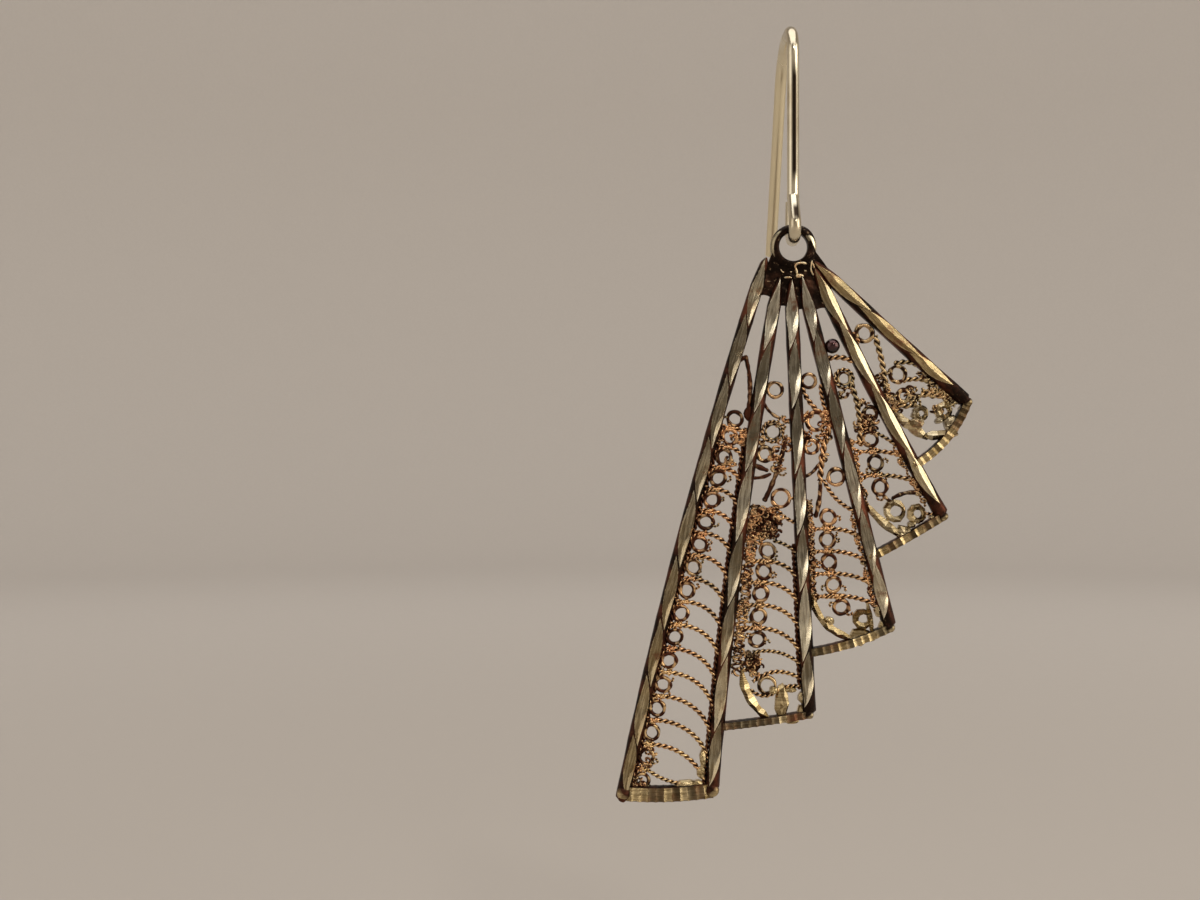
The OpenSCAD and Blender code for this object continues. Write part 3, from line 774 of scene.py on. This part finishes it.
def cut_facets(metal, grid, tones, gold):
    """A skin over rows of points whose faces share no corners, so that each stays a flat facet."""
    for r in range(len(grid) - 1):
        for c in range(grid.shape[1] - 1):
            patch = grid[r:r + 2, c:c + 2]
            metal.grid(patch, cut=1.0, tone=tones[r, c], lay=patch[..., [0, 2, 1]], gold=gold)


def cut_band(metal, path, wide, seed):
    """A flat band of pale metal with its front filed to two slopes, in short lengths."""
    rng = np.random.default_rng(seed)
    places = paced(path, max(5, round(run_of(path)[-1] / 0.34)))
    s = run_of(places)
    count = len(s)
    wave = 1 + rng.uniform(-0.20, 0.16, count)
    taper = np.clip(np.minimum(s, s[-1] - s) / 0.5, 0.4, 1)
    half = (wide / 2 * wave * taper)[:, None]
    ridge = rng.uniform(-0.45, 0.35, count)
    step = half * columns(count, -0.9, -1, -1, ridge, 1, 1, 0.9, -0.9)
    crest = -0.17 + 0.08 * rng.uniform(-1, 1, count)
    bevel = BACK - WIRE_BEVEL
    depth = columns(count, BACK, bevel, 0.02, crest, 0.03, bevel, BACK, BACK)
    grid = section(places, headings(places), step, depth)
    cut_facets(metal, grid, rng.uniform(0, 0.7, (count, 8)), 0.6)


def filed_lump(metal, at, wide, tall, seed):
    """A lump of pale solder with small flats where a file touched it."""
    rng = np.random.default_rng(seed)
    sides = 9
    turn = np.linspace(0, 2 * math.pi, sides + 1)
    reach = np.array([1.0, 1.0, 0.88, 0.50, 0.0])[:, None]
    depth = np.array([BACK, 0.08, -0.09, -0.14, -0.16])[:, None]
    lean = np.array([0, 0, 0.05, 0.12, 0.16])[:, None]
    uneven = joined(rng.uniform(0.78, 1.12, sides))
    jog = rng.uniform(-0.04, 0.04, (len(reach), sides + 1))
    jog[:, -1] = jog[:, 0]
    aside, aloft = rng.uniform(-1, 1, 2)
    x = at[0] + wide * (reach * uneven * np.cos(turn) / 2 + lean * aside)
    z = at[1] + tall * (reach * uneven * np.sin(turn) / 2 + lean * aloft)
    grid = stack(x, depth + jog * (reach > 0), z)
    cut_facets(metal, grid, rng.uniform(0, 0.62, (len(reach), sides)), 0.5)


def tangle(metal, at, wide, tall, warm, worn, seed):
    """Crushed curls and ends of wire over a thin skin of dark solder."""
    rng = np.random.default_rng(seed)
    blob(metal, at, wide * 0.8, tall * 0.8, 0.20, seed, sink=0.18, crest=0.2, warm=0.35)
    for k in range(round(12 * wide * tall)):
        turn = rng.uniform(0, 2 * math.pi)
        far = math.sqrt(rng.uniform(0, 0.9)) / 2
        place = at + ray(turn, far) * (wide, tall)
        size = rng.uniform(0.28, 0.50)
        fine = WIRE_W * rng.uniform(0.55, 0.80)
        curl(metal, place, size, fine, warm, rng, laid=k % 3 == 0, worn=rng.choice(worn))


# ---- Panels ----
def ring_column(wires, p, row, warm, rng):
    """A column of small rings, with bars to the left rib, a knot and an arch between each two."""
    rings, start, end, bend, ease, arches, fall = row
    places = []
    for k in range(rings):
        t = (k / (rings - 1)) ** ease
        places.append(spot(p, (mix(start[0], end[0], t) + bend * bow_rise(t), mix(start[1], end[1], t))))
    for k, place in enumerate(places):
        path = ring_path(place, RING_D * 0.97, WIRE_W, dent=0.08, seed=k)
        tint = warm * rng.uniform(0.6, 1.3)
        plain_wire(wires, path, WIRE_W * 0.96, tint, closed=True, worn=0.85, seed=20 * p + k)
        for _ in range(2):
            at = place + ray(rng.uniform(0, 2 * math.pi), RING_D * 0.5)
            curl(wires, at, rng.uniform(0.3, 0.5), WIRE_W * 0.7, tint, rng, laid=True)
    for k in range(rings - 1):
        middle = (places[k] + places[k + 1]) / 2
        tint = min(1.3, warm * rng.uniform(0.9, 1.5))
        for lift, bow in ((-0.55, -0.16), (0.30, 0.12)):
            side = rib_level(p, (-middle[1] - lift) / FAN_H) + (RIB_W * 0.42, 0)
            leg = bowed(side, middle + (0.10, 0.06 * lift), bow)
            laid_wire(wires, leg, WIRE_W * 0.95, tint, seed=k)
        knot(wires, middle, 0.52, tint * 1.1, 40 * p + k)
        if k < arches:
            tint = warm * rng.uniform(0.7, 1.2)
            laid_wire(wires, arch(p, middle, fall), WIRE_W * 1.32, tint, seed=k)


def single_ring(wires, place, size, wide, tint, seed):
    """A ring of one drawn wire, or of a laid wire round a thin one where it is heavy."""
    if wide > 1.35 * WIRE_W:
        inner = wide * 0.45
        path = ring_path(place, size - 2 * (wide - inner), inner, seed=seed)
        plain_wire(wires, path, inner, tint * 0.5, closed=True, seed=seed)
        path = ring_path(place, size, wide - inner)
        laid_wire(wires, path, wide * 0.62, tint, closed=True, seed=seed)
    else:
        path = ring_path(place, size, wide, seed=seed)
        plain_wire(wires, path, wide, tint, closed=True, worn=1.25, seed=seed)


def edge_wire(wires, i, lean, top, foot, size, tint, seed):
    """A wire along a rib's side: crimped where it is broad, and straight where it is fine."""
    path = rib_at(i, rib_share(i, mix(top, foot, np.linspace(0, 1, 40))))
    path = path + left_of(headings(path)) * (RIB_W / 2 + WIRE_W * (size / 2 - SOLDER_IN)) * lean
    if size > 1.25:
        crimped_wire(wires, path, WIRE_W * size, tint, seed)
    else:
        laid_wire(wires, path, WIRE_W * size, tint, worn=0.55, seed=seed)


def panel(p, wire_finish, solder_finish):
    """The filigree of one panel: its wires as one piece and its pale solder as another."""
    wires, solder = Skin(), Skin()
    warm = WARMTH[p]
    rng = np.random.default_rng(11 + p)
    for row in rows_for(COLUMNS, p):
        ring_column(wires, p, row, warm, rng)
    for k, (at, size, heavy, tie) in enumerate(rows_for(RINGS, p)):
        place, size = spot(p, at), RING_D * size
        tint = warm * rng.uniform(0.6, 1.3)
        single_ring(wires, place, size, WIRE_W * heavy, tint, k)
        if tie is not None:
            tie_bar(wires, place, size, spot(p, (tie, at[1])), tint)
    for k, (start, end, bow, size, kind) in enumerate(rows_for(WIRES, p)):
        path = bowed(spot(p, start), spot(p, end), bow)
        if kind == "band":
            cut_band(solder, path, WIRE_W * size, 50 * p + k)
        elif kind == "laid":
            laid_wire(wires, path, WIRE_W * size, warm * rng.uniform(0.7, 1.3), seed=k)
        else:
            worn = 0.65 if kind == "dark" else 0.9
            plain_wire(wires, path, WIRE_W * min(1.25, size * 0.9), warm, worn=worn, seed=k)
    for k, (side, top, foot, size) in enumerate(rows_for(EDGES, p)):
        lean = 1 if side == 0 else -1
        edge_wire(wires, p + side, lean, top, foot, size, warm * rng.uniform(0.8, 1.4), k)
    for k, (at, wide, tall, kind) in enumerate(rows_for(GRAINS, p)):
        place, wide, tall = spot(p, at), RING_D * wide, RING_D * tall
        if kind == "copper":
            tangle(wires, place, wide, tall, 1.4, (0.8, 1.1, 1.4), 31 + k)
        elif kind == "tangle":
            tangle(wires, place, wide, tall, 1.2 * warm, (0.6, 1.1, 1.5), 31 + k)
        elif kind == "gold":
            filed_lump(solder, place, wide, tall, 60 + 7 * p + k)
        else:
            blob(wires, place, wide, tall, 0.5, 60 + 7 * p + k, crest=0.3, warm=0.9)
    for at, spread, count in rows_for(SCRAPS, p):
        for _ in range(count):
            place = spot(p, at) + rng.uniform(-0.5, 0.5, 2) * spread
            wide = WIRE_W * rng.uniform(0.6, 0.8)
            size = rng.uniform(0.32, 0.55)
            curl(wires, place, size, wide, 1.2 * warm, rng, laid=rng.uniform() < 0.4, worn=1.3)
    for k, (at, wide, tall) in enumerate(rows_for(RUNOFF, p)):
        filed_lump(solder, spot(p, at), wide, tall, 90 + 5 * p + k)
    for k, (at,) in enumerate(rows_for(DROWNED, p)):
        size = next(row[1] for row in rows_for(RINGS, p) if row[0] == at) * RING_D
        path = joined(ring_path(spot(p, at), size + 0.12, DROWNED_W, sides=36, seed=k))
        cut_band(solder, path, DROWNED_W, 70 + 5 * p + k)
    make(wires, f"filigree_{p + 1}", wire_finish)
    make(solder, f"solder_{p + 1}", solder_finish)


# ---- Eye, gather plate and ball ----
# Outline of the eye's metal, as distance from its hole and depth, for a wall and depth of EYE_DRAWN
EYE_DRAWN = (0.60, 0.86)
EYE_OUTLINE = [
    (0.00, -0.26), (0.04, -0.37), (0.12, -0.42), (0.22, -0.43), (0.30, -0.42), (0.38, -0.40),
    (0.45, -0.36), (0.51, -0.31), (0.56, -0.25), (0.60, -0.16), (0.60, 0.16), (0.55, 0.34),
    (0.42, 0.42), (0.16, 0.42), (0.04, 0.35), (0.00, 0.24),
]
EYE_STEPS = 216


def eye(finish):
    metal = Skin()
    outline = np.array(EYE_OUTLINE)
    fine = np.linspace(0, len(outline) - 1, 3 * len(outline) - 2)
    out, deep = (np.interp(fine, range(len(outline)), line) for line in outline.T)
    turn = np.linspace(0, 2 * math.pi, EYE_STEPS + 1)[:, None]
    radius = EYE_HOLE / 2 + out * EYE_WALL / EYE_DRAWN[0]
    depth = deep * EYE_DEEP / EYE_DRAWN[1]
    points = stack(radius * np.cos(turn), depth, radius * np.sin(turn))
    uneven = joined(ripple(points[:-1], 1.3, 3))
    outward = np.clip((out - 0.2) / 0.3, 0, 1)
    for axis, way in ((0, np.cos(turn)), (2, np.sin(turn))):
        points[..., axis] -= 0.03 * way * (1 + uneven) * outward
    degrees = np.degrees(turn)
    across = (radius - EYE_HOLE / 2) / EYE_WALL

    def patch(angle, wide, level, tall, slope=0.0):
        """A lens-shaped cut on the front, 1 inside it and 0 outside."""
        off = (degrees - angle + 180) % 360 - 180
        reach = (off / wide) ** 2 + ((across - level - slope * off) / tall) ** 2
        return 1 - smooth_share(reach + 2 * (depth > -0.1), 0.75, 1.15)

    shoulder = patch(12, 25, 0.74, 0.24, -0.012)
    second = patch(30, 12, 0.25, 0.14)
    line = patch(176, 46, 0.86, 0.24, 0.004)
    cut = np.clip(shoulder + 0.5 * second + 0.85 * line, 0, 1)
    metal.grid(points, wrap=True, cut=cut, tone=0.15 + 0.8 * shoulder, lay=stack(turn, radius, depth))
    make(metal, "eye_ring", finish)


def plate_rows(across, out):
    """Places on the plate, on rays from the eye to its lower edge, for shares across from rib to rib."""
    p = np.minimum(across.astype(int), 4)
    f = across - p
    inner = ray(math.pi * (1 + across / 5), 1.22)
    a, b = (np.array([rib_level(k + side, PANELS[k][0]) for k in p]) for side in (0, 1))
    outer = mix(a, b, f[:, None])
    outer[:, 1] += 0.42 * bow_rise(f)
    return mix(inner, outer, out[:, None, None]), f


def plate_front(places):
    """Depth of the plate's front, which falls away from the eye."""
    radius = np.linalg.norm(places, axis=-1)
    return mix(-PLATE_DEEP / 2, -0.12, np.clip((radius - 1.3) / 1.1, 0, 1) ** 0.8)


def gather_plate(finish):
    metal = Skin()
    out = np.linspace(0, 1, 34)
    flat, f = plate_rows(np.linspace(0, 4.999, 121), out)
    rise = np.clip(bow_rise(f) * np.clip(out[:, None] - 0.35, 0, 1) * 1.6, 0, 1)
    soft = 0.35 + 0.65 * np.clip((1 - out[:, None]) / 0.12, 0, 1) ** 0.5
    bumps = 0.05 * ripple(flat, 0.9, 5) + 0.03 * ripple(flat, 0.42, 6)
    front = (plate_front(flat) + 0.10 * rise + bumps) * soft
    back = (PLATE_DEEP / 2 - 0.10 * rise + 0.6 * bumps) * soft
    lay = stack(flat[..., 0], flat[..., 1], 4.0)
    for depth, order in ((front, 1), (back, -1)):
        points = stack(flat[..., 0], depth, flat[..., 1])
        metal.grid(points[:, ::order], cut=0.0, lay=lay[:, ::order])
    for row, order in ((0, -1), (-1, 1)):
        points = stack(flat[row, :, 0], np.stack([front[row], back[row]]), flat[row, :, 1])
        metal.grid(points[::order], cut=0.0, lay=lay[row])
    make(metal, "gather_plate", finish)


# Threads of bright metal that ran over the plate: places in mm from the eye's centre, and width
RUNS = [
    (((0.90, -1.16), (0.57, -1.10), (0.21, -1.14), (0.06, -1.31), (0.20, -1.58), (0.24, -1.87)), 0.15),
    (((-0.62, -2.06), (-0.34, -2.03), (-0.06, -2.07)), 0.15),
    (((0.14, -2.00), (0.36, -1.93), (0.70, -1.99)), 0.30),
    (((1.22, -0.92), (1.15, -1.55), (1.33, -1.90), (1.50, -1.78), (1.30, -1.10)), 0.12),
    (((0.70, -1.62), (0.86, -1.60)), 0.12),
    (((-0.86, -1.50), (-0.78, -1.66), (-0.62, -1.74)), 0.08),
    (((-0.24, -1.70), (-0.12, -1.66)), 0.11),
    (((0.05, -2.75), (0.13, -2.92)), 0.10),
]
# Depth of the eye's front where a thread runs over it, at distances from the eye's centre
OVER_EYE = ((1.0, 1.2, 1.4, 1.56), (-0.38, -0.43, -0.36, -0.10))


def solder_runs(finish):
    metal = Skin()
    angle = around(DRAWN_SIDES)
    for k, (path, wide) in enumerate(RUNS):
        path = np.array(path)
        places = paced(path, max(6, round(run_of(path)[-1] / 0.06)))
        for _ in range(3):
            places[1:-1] = (places[:-2] + 2 * places[1:-1] + places[2:]) / 4
        swell = wide / 2 * (1 + 0.22 * ripple(places, 0.35, k))
        swell[[0, -1]] *= 0.4
        step = swell[:, None] * np.cos(angle)
        over_eye = np.interp(np.linalg.norm(places, axis=1), *OVER_EYE)
        lift = np.minimum(plate_front(places), over_eye)[:, None] - 0.03
        depth = lift + swell[:, None] * np.sin(angle)
        points = section(places, headings(places), step, depth)
        lay = stack(step, depth, float(k))
        metal.grid(points, wrap=True, caps=True, crest=1.3, warm=0.8, pale=0.8, lay=lay)
    make(metal, "plate_runs", finish)


def small_ball(finish):
    metal = Skin()
    ball = bead(25, 40, 0.01)
    ball = ball * (BALL_D / 2 - 0.02) * (1 + 0.012 * ripple(ball, 1.5, 8))[..., None]
    at = spot(BALL_PANEL, BALL_AT)
    metal.grid(ball + (at[0], 0, at[1]), wrap=True, caps=True, lay=ball)
    make(metal, "small_ball", finish)


# ---- Finishes ----
class Value:
    """A number, colour or vector worked out by a finish, so that its maths reads as plain Python."""

    def __init__(self, look, socket):
        self.look = look
        self.socket = socket

    def _math(self, operation, *values):
        return self.look.node("ShaderNodeMath", {"operation": operation}, dict(enumerate(values)))

    def __add__(self, other):
        return self._math("ADD", self, other)

    def __radd__(self, other):
        return self._math("ADD", other, self)

    def __sub__(self, other):
        return self._math("SUBTRACT", self, other)

    def __rsub__(self, other):
        return self._math("SUBTRACT", other, self)

    def __mul__(self, other):
        return self._math("MULTIPLY", self, other)

    def __rmul__(self, other):
        return self._math("MULTIPLY", other, self)

    def __abs__(self):
        return self._math("ABSOLUTE", self)

    def within(self, low, high):
        """0 below low, 1 above high, and smooth between them."""
        settings = {"interpolation_type": "SMOOTHSTEP"}
        inputs = {"Value": self, "From Min": low, "From Max": high}
        return self.look.node("ShaderNodeMapRange", settings, inputs)


class Look:
    """One finish: its nodes and the shader that they feed."""

    def __init__(self, name, **uniform):
        self.material = bpy.data.materials.new(name)
        self.material.use_nodes = True
        self.tree = self.material.node_tree
        self.shader = self.tree.nodes["Principled BSDF"]
        self.set(**uniform)

    def node(self, kind, settings=None, inputs=None, output=0):
        """A node of any kind: its settings first, then the values or links of its sockets."""
        node = self.tree.nodes.new(kind)
        for name, value in (settings or {}).items():
            setattr(node, name, value)
        for name, value in (inputs or {}).items():
            self.feed(node.inputs[name], value)
        return Value(self, node.outputs[output])

    def feed(self, socket, value):
        if isinstance(value, Value):
            self.tree.links.new(value.socket, socket)
        elif isinstance(value, tuple) and socket.type == "RGBA":
            socket.default_value = value + (1.0,)
        else:
            socket.default_value = value

    def set(self, **sockets):
        for name, value in sockets.items():
            self.feed(self.shader.inputs[name.replace("_", " ")], value)

    def mark(self, name):
        """A mark that the metal carries, as a number."""
        return self.node("ShaderNodeAttribute", {"attribute_name": name}, output=2)

    def lay(self, stretch):
        """Place along the piece, across it, and which piece, in mm, each times a stretch."""
        lay = self.node("ShaderNodeAttribute", {"attribute_name": "lay"}, output=1)
        return self.scaled(lay, stretch)

    def place(self):
        """Place on the object, in metres."""
        return self.node("ShaderNodeTexCoord", output=3)

    def axis(self, index):
        """Place on the object along X, Y or Z, in metres."""
        return self.node("ShaderNodeSeparateXYZ", inputs={0: self.place()}, output=index)

    def scaled(self, vector, by):
        return self.node("ShaderNodeVectorMath", {"operation": "MULTIPLY"}, {0: vector, 1: by})

    def noise(self, scale, detail, roughness, vector=None):
        """Soft noise from 0 to 1 over the object, or over another vector."""
        inputs = {"Vector": vector or self.place(), "Scale": scale}
        return self.node("ShaderNodeTexNoise", None, {**inputs, "Detail": detail, "Roughness": roughness})

    def blend(self, a, b, share):
        """Colour from a to b by a share, through a Mix node's colour sockets."""
        return self.node("ShaderNodeMix", {"data_type": "RGBA"}, {0: share, 6: a, 7: b}, output=2)

    def bump(self, height, strength, distance):
        inputs = {"Height": height, "Strength": strength, "Distance": distance}
        return self.node("ShaderNodeBump", None, inputs)


def cut_silver():
    """Tarnished silver of the ribs and strips, bright where it is cut."""
    look = Look("cut_silver", Metallic=1.0)
    cut = look.mark("cut")
    streak = look.noise(1.5, 4.0, 0.6, look.lay((0.40, 5.0, 1.0)))
    scratch = look.noise(1.9, 2.0, 0.6, look.lay((0.7, 30.0, 1.0)))
    patch = look.noise(560.0, 4.0, 0.62)
    grit = look.noise(5200.0, 2.0, 0.6)
    low = 1 - look.axis(2).within(-0.046, -0.024)
    edge = look.mark("rim") * (grit.within(0.40, 0.62) * 0.55 - 0.20)
    wear = streak * 1.15 + scratch * 0.16 - 0.66
    tone = (look.mark("tone") * 0.80 + wear + edge + low * 0.08 + 0.06).within(0, 1)
    grey = look.blend((0.14, 0.12, 0.085), (0.92, 0.86, 0.70), tone)
    gold = look.blend((0.20, 0.135, 0.055), (0.90, 0.72, 0.40), tone)
    bright = look.blend(grey, gold, (look.mark("gold") + low * 0.35 + (patch - 0.5) * 0.9).within(0, 1))
    bright = look.blend(bright, (0.20, 0.085, 0.045), (patch + grit * 0.25).within(0.70, 0.84) * 0.75)
    dark = look.blend((0.018, 0.011, 0.008), (0.125, 0.042, 0.024), patch.within(0.40, 0.66))
    dark = look.blend(dark, (0.34, 0.23, 0.12), (grit * 0.6 + streak * 0.4).within(0.60, 0.74) * 0.6)
    look.set(
        Base_Color=look.blend(dark, bright, cut),
        Roughness=0.46 - cut * 0.20 + (streak - 0.5) * 0.22,
        Normal=look.bump(streak + scratch * 0.6 + grit * 0.4, 0.35, 0.00004),
    )
    return look.material


def laid_copper():
    """Filigree wire and solder: bright on its crests from real wear and a painted highlight, and dark in
    its hollows from oxide and painted shade.
    """
    look = Look("laid_wire", Metallic=1.0)
    patch = look.noise(620.0, 3.0, 0.6)
    grit = look.noise(6500.0, 2.0, 0.6)
    low = 1 - look.axis(2).within(-0.050, -0.030)
    warm = (look.mark("warm") * 0.9 + (patch - 0.5) * 1.3).within(0, 1)
    # Bright colour of the crests: worn metal that also carries a painted highlight
    worn = look.blend((0.52, 0.41, 0.23), (0.82, 0.42, 0.20), warm)
    worn = look.blend(worn, (0.80, 0.60, 0.30), (low * 0.6 + 0.25) * patch.within(0.40, 0.62))
    worn = look.blend(worn, (0.74, 0.66, 0.44), look.mark("pale") * grit.within(0.25, 0.6))
    # Near-black of the hollows: oxide, and painted shade where the strands meet
    hollow = look.blend((0.022, 0.011, 0.007), (0.085, 0.028, 0.015), warm)
    # Share from the hollow colour to the crest colour: real wear plus painted highlight on crests, oxide
    # plus painted shade in hollows
    wear_and_sheen = (look.mark("crest") + (grit - 0.5) * 0.5 + (patch - 0.5) * 0.5).within(0.45, 1.0)
    look.set(
        Base_Color=look.blend(hollow, worn, wear_and_sheen),
        Roughness=0.42 - wear_and_sheen * 0.14 + (grit - 0.5) * 0.2,
        Normal=look.bump(grit, 0.3, 0.00002),
    )
    return look.material


def dark_solder():
    """Near-black tarnish over the eye and the gather plate, worn through in places."""
    look = Look("dark_solder", Metallic=1.0)
    cut = look.mark("cut")
    patch = look.noise(700.0, 4.0, 0.6)
    grit = look.noise(4200.0, 3.0, 0.6)
    dark = look.blend((0.014, 0.009, 0.007), (0.075, 0.034, 0.021), patch.within(0.48, 0.72))
    dark = look.blend(dark, (0.50, 0.34, 0.20), grit.within(0.61, 0.74) * 0.6)
    bright = look.blend((0.40, 0.34, 0.22), (0.85, 0.77, 0.56), look.mark("tone"))
    look.set(
        Base_Color=look.blend(dark, bright, cut),
        Roughness=0.40 - cut * 0.12 + (grit - 0.5) * 0.25,
        Normal=look.bump(patch + grit * 0.5, 0.35, 0.00005),
    )
    return look.material


def oxide_ball():
    """A bead of glossy dark red oxide."""
    look = Look("oxide_bead", Metallic=1.0, Coat_Weight=1.0, Coat_Roughness=0.04)
    patch = look.noise(900.0, 3.0, 0.5)
    look.set(
        Base_Color=look.blend((0.012, 0.005, 0.005), (0.075, 0.012, 0.012), patch.within(0.35, 0.7)),
        Roughness=0.16 + patch * 0.12,
    )
    return look.material


def hook_silver():
    """Bright drawn wire, warmer and duller towards the tail, with a painted dark reflection down the
    middle of the front leg and over a patch of the loop.
    """
    look = Look("hook_wire_silver", Metallic=1.0)
    patch = look.noise(330.0, 3.0, 0.5)
    tail = look.axis(1).within(0.001, 0.006)
    level = look.axis(2)
    # Painted dark reflection: a stripe down the middle of the front leg and a patch on the loop, in a
    # narrow band centred across the wire
    leg = level.within(-0.0108, -0.0096) * (1 - level.within(-0.0035, -0.0020))
    loop = level.within(-0.0134, -0.0127) * (1 - level.within(-0.0123, -0.0118))
    painted_reflection_stripe = (1 - abs(look.axis(0) - 0.00006).within(0.00008, 0.00025)) * (1 - tail)
    silver = look.blend((0.82, 0.75, 0.58), (0.60, 0.51, 0.36), patch.within(0.35, 0.7))
    silver = look.blend(silver, (0.035, 0.024, 0.016), (leg + loop) * painted_reflection_stripe)
    look.set(
        Base_Color=look.blend(silver, (0.90, 0.79, 0.54), tail * 0.8),
        Roughness=0.17 + patch * 0.10 + tail * 0.12,
        Normal=look.bump(look.noise(2600.0, 3.0, 0.6), 0.10, 0.000004),
    )
    return look.material


def backdrop_paint():
    """Pale matt paint of the floor and backdrop, with painted shade that makes the floor a little darker
    round the spot under the earring.
    """
    look = Look("backdrop_paint", Roughness=0.9)
    wall = look.blend((0.555, 0.515, 0.475), (0.59, 0.55, 0.51), look.noise(900.0, 2.0, 0.5))
    outward = look.scaled(look.place(), (1, 1, 0))
    far = look.node("ShaderNodeVectorMath", {"operation": "LENGTH"}, {0: outward}, output=1)
    # Painted shade: darkest within about 0.1 m of the spot under the earring, fading to the wall colour by
    # 0.42 m
    look.set(Base_Color=look.blend((0.46, 0.42, 0.38), wall, far.within(0.10, 0.42)))
    return look.material


# ---- The earring ----
silver = cut_silver()
copper = laid_copper()
solder_dark = dark_solder()
for i in range(len(RIBS)):
    rib(i, silver)
for p in range(len(PANELS)):
    strip(p, silver)
    panel(p, copper, silver)
eye(solder_dark)
gather_plate(solder_dark)
solder_runs(copper)
small_ball(oxide_ball())

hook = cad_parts["ear_hook"]
hook.data.materials.clear()
hook.data.materials.append(hook_silver())


# ---- Floor, light and camera, in mm ----
def studio(finish):
    """Round floor that curves up into a wall on every side, open at its top."""
    floor, wall, curve, top = -76.0, 760.0, 240.0, 900.0
    a = np.linspace(0, math.pi / 2, 17)
    out = np.concatenate([[1.0], wall - curve * (1 - np.sin(a)), [wall]])[:, None]
    up = np.concatenate([[floor], floor + curve * (1 - np.cos(a)), [top]])[:, None]
    turn = around(96)
    room = Skin()
    room.grid(stack(out * np.cos(turn), out * np.sin(turn), up), wrap=True)
    room.faces.append(list(range(len(turn))))
    room.build("studio_floor", finish)


def softbox(name, at, aim, wide, tall, power, colour):
    """A soft light at a place, turned to another."""
    lamp = bpy.data.lights.new(name, "AREA")
    lamp.shape = "RECTANGLE"
    lamp.size = wide * MM
    lamp.size_y = tall * MM
    lamp.energy = power
    lamp.color = colour
    box = bpy.data.objects.new(name, lamp)
    at, aim = Vector(at), Vector(aim)
    box.location = at * MM
    box.rotation_euler = (aim - at).to_track_quat("-Z", "Y").to_euler()
    bpy.context.scene.collection.objects.link(box)


studio(backdrop_paint())
MIDDLE = (0, HANG_Y, -30)
softbox("overhead", (0, 0, 620), (0, 120, -80), 900, 900, 3.9, (1.0, 0.97, 0.94))
softbox("right_window", (460, -270, 150), MIDDLE, 420, 430, 1.40, (1.0, 0.94, 0.82))
softbox("left_window", (-460, -270, 150), MIDDLE, 420, 430, 0.36, (1.0, 0.96, 0.88))
softbox("glint", (150, -420, 300), MIDDLE, 45, 45, 0.30, (1.0, 0.95, 0.86))
world = bpy.data.worlds.new("studio")
world.use_nodes = True
background = world.node_tree.nodes["Background"].inputs
background["Color"].default_value = (0.95, 0.90, 0.84, 1)
background["Strength"].default_value = 0.16
bpy.context.scene.world = world

# The photograph's camera looks straight along +Y; its frame is 80 mm wide at the fan
VIEW_WIDE = 80.0
VIEW_FROM = (-12.87, -104.9, -28.27)
SENSOR_W = 36.0
lens = bpy.data.cameras.new("camera")
lens.sensor_width = SENSOR_W
lens.lens = SENSOR_W * (HANG_Y - VIEW_FROM[1]) / VIEW_WIDE
lens.clip_start = 0.005
lens.clip_end = 10.0
camera = bpy.data.objects.new("camera", lens)
camera.location = [v * MM for v in VIEW_FROM]
camera.rotation_euler = (math.radians(90), 0, 0)
bpy.context.scene.collection.objects.link(camera)
bpy.context.scene.camera = camera
bpy.context.scene.view_settings.view_transform = "Standard"
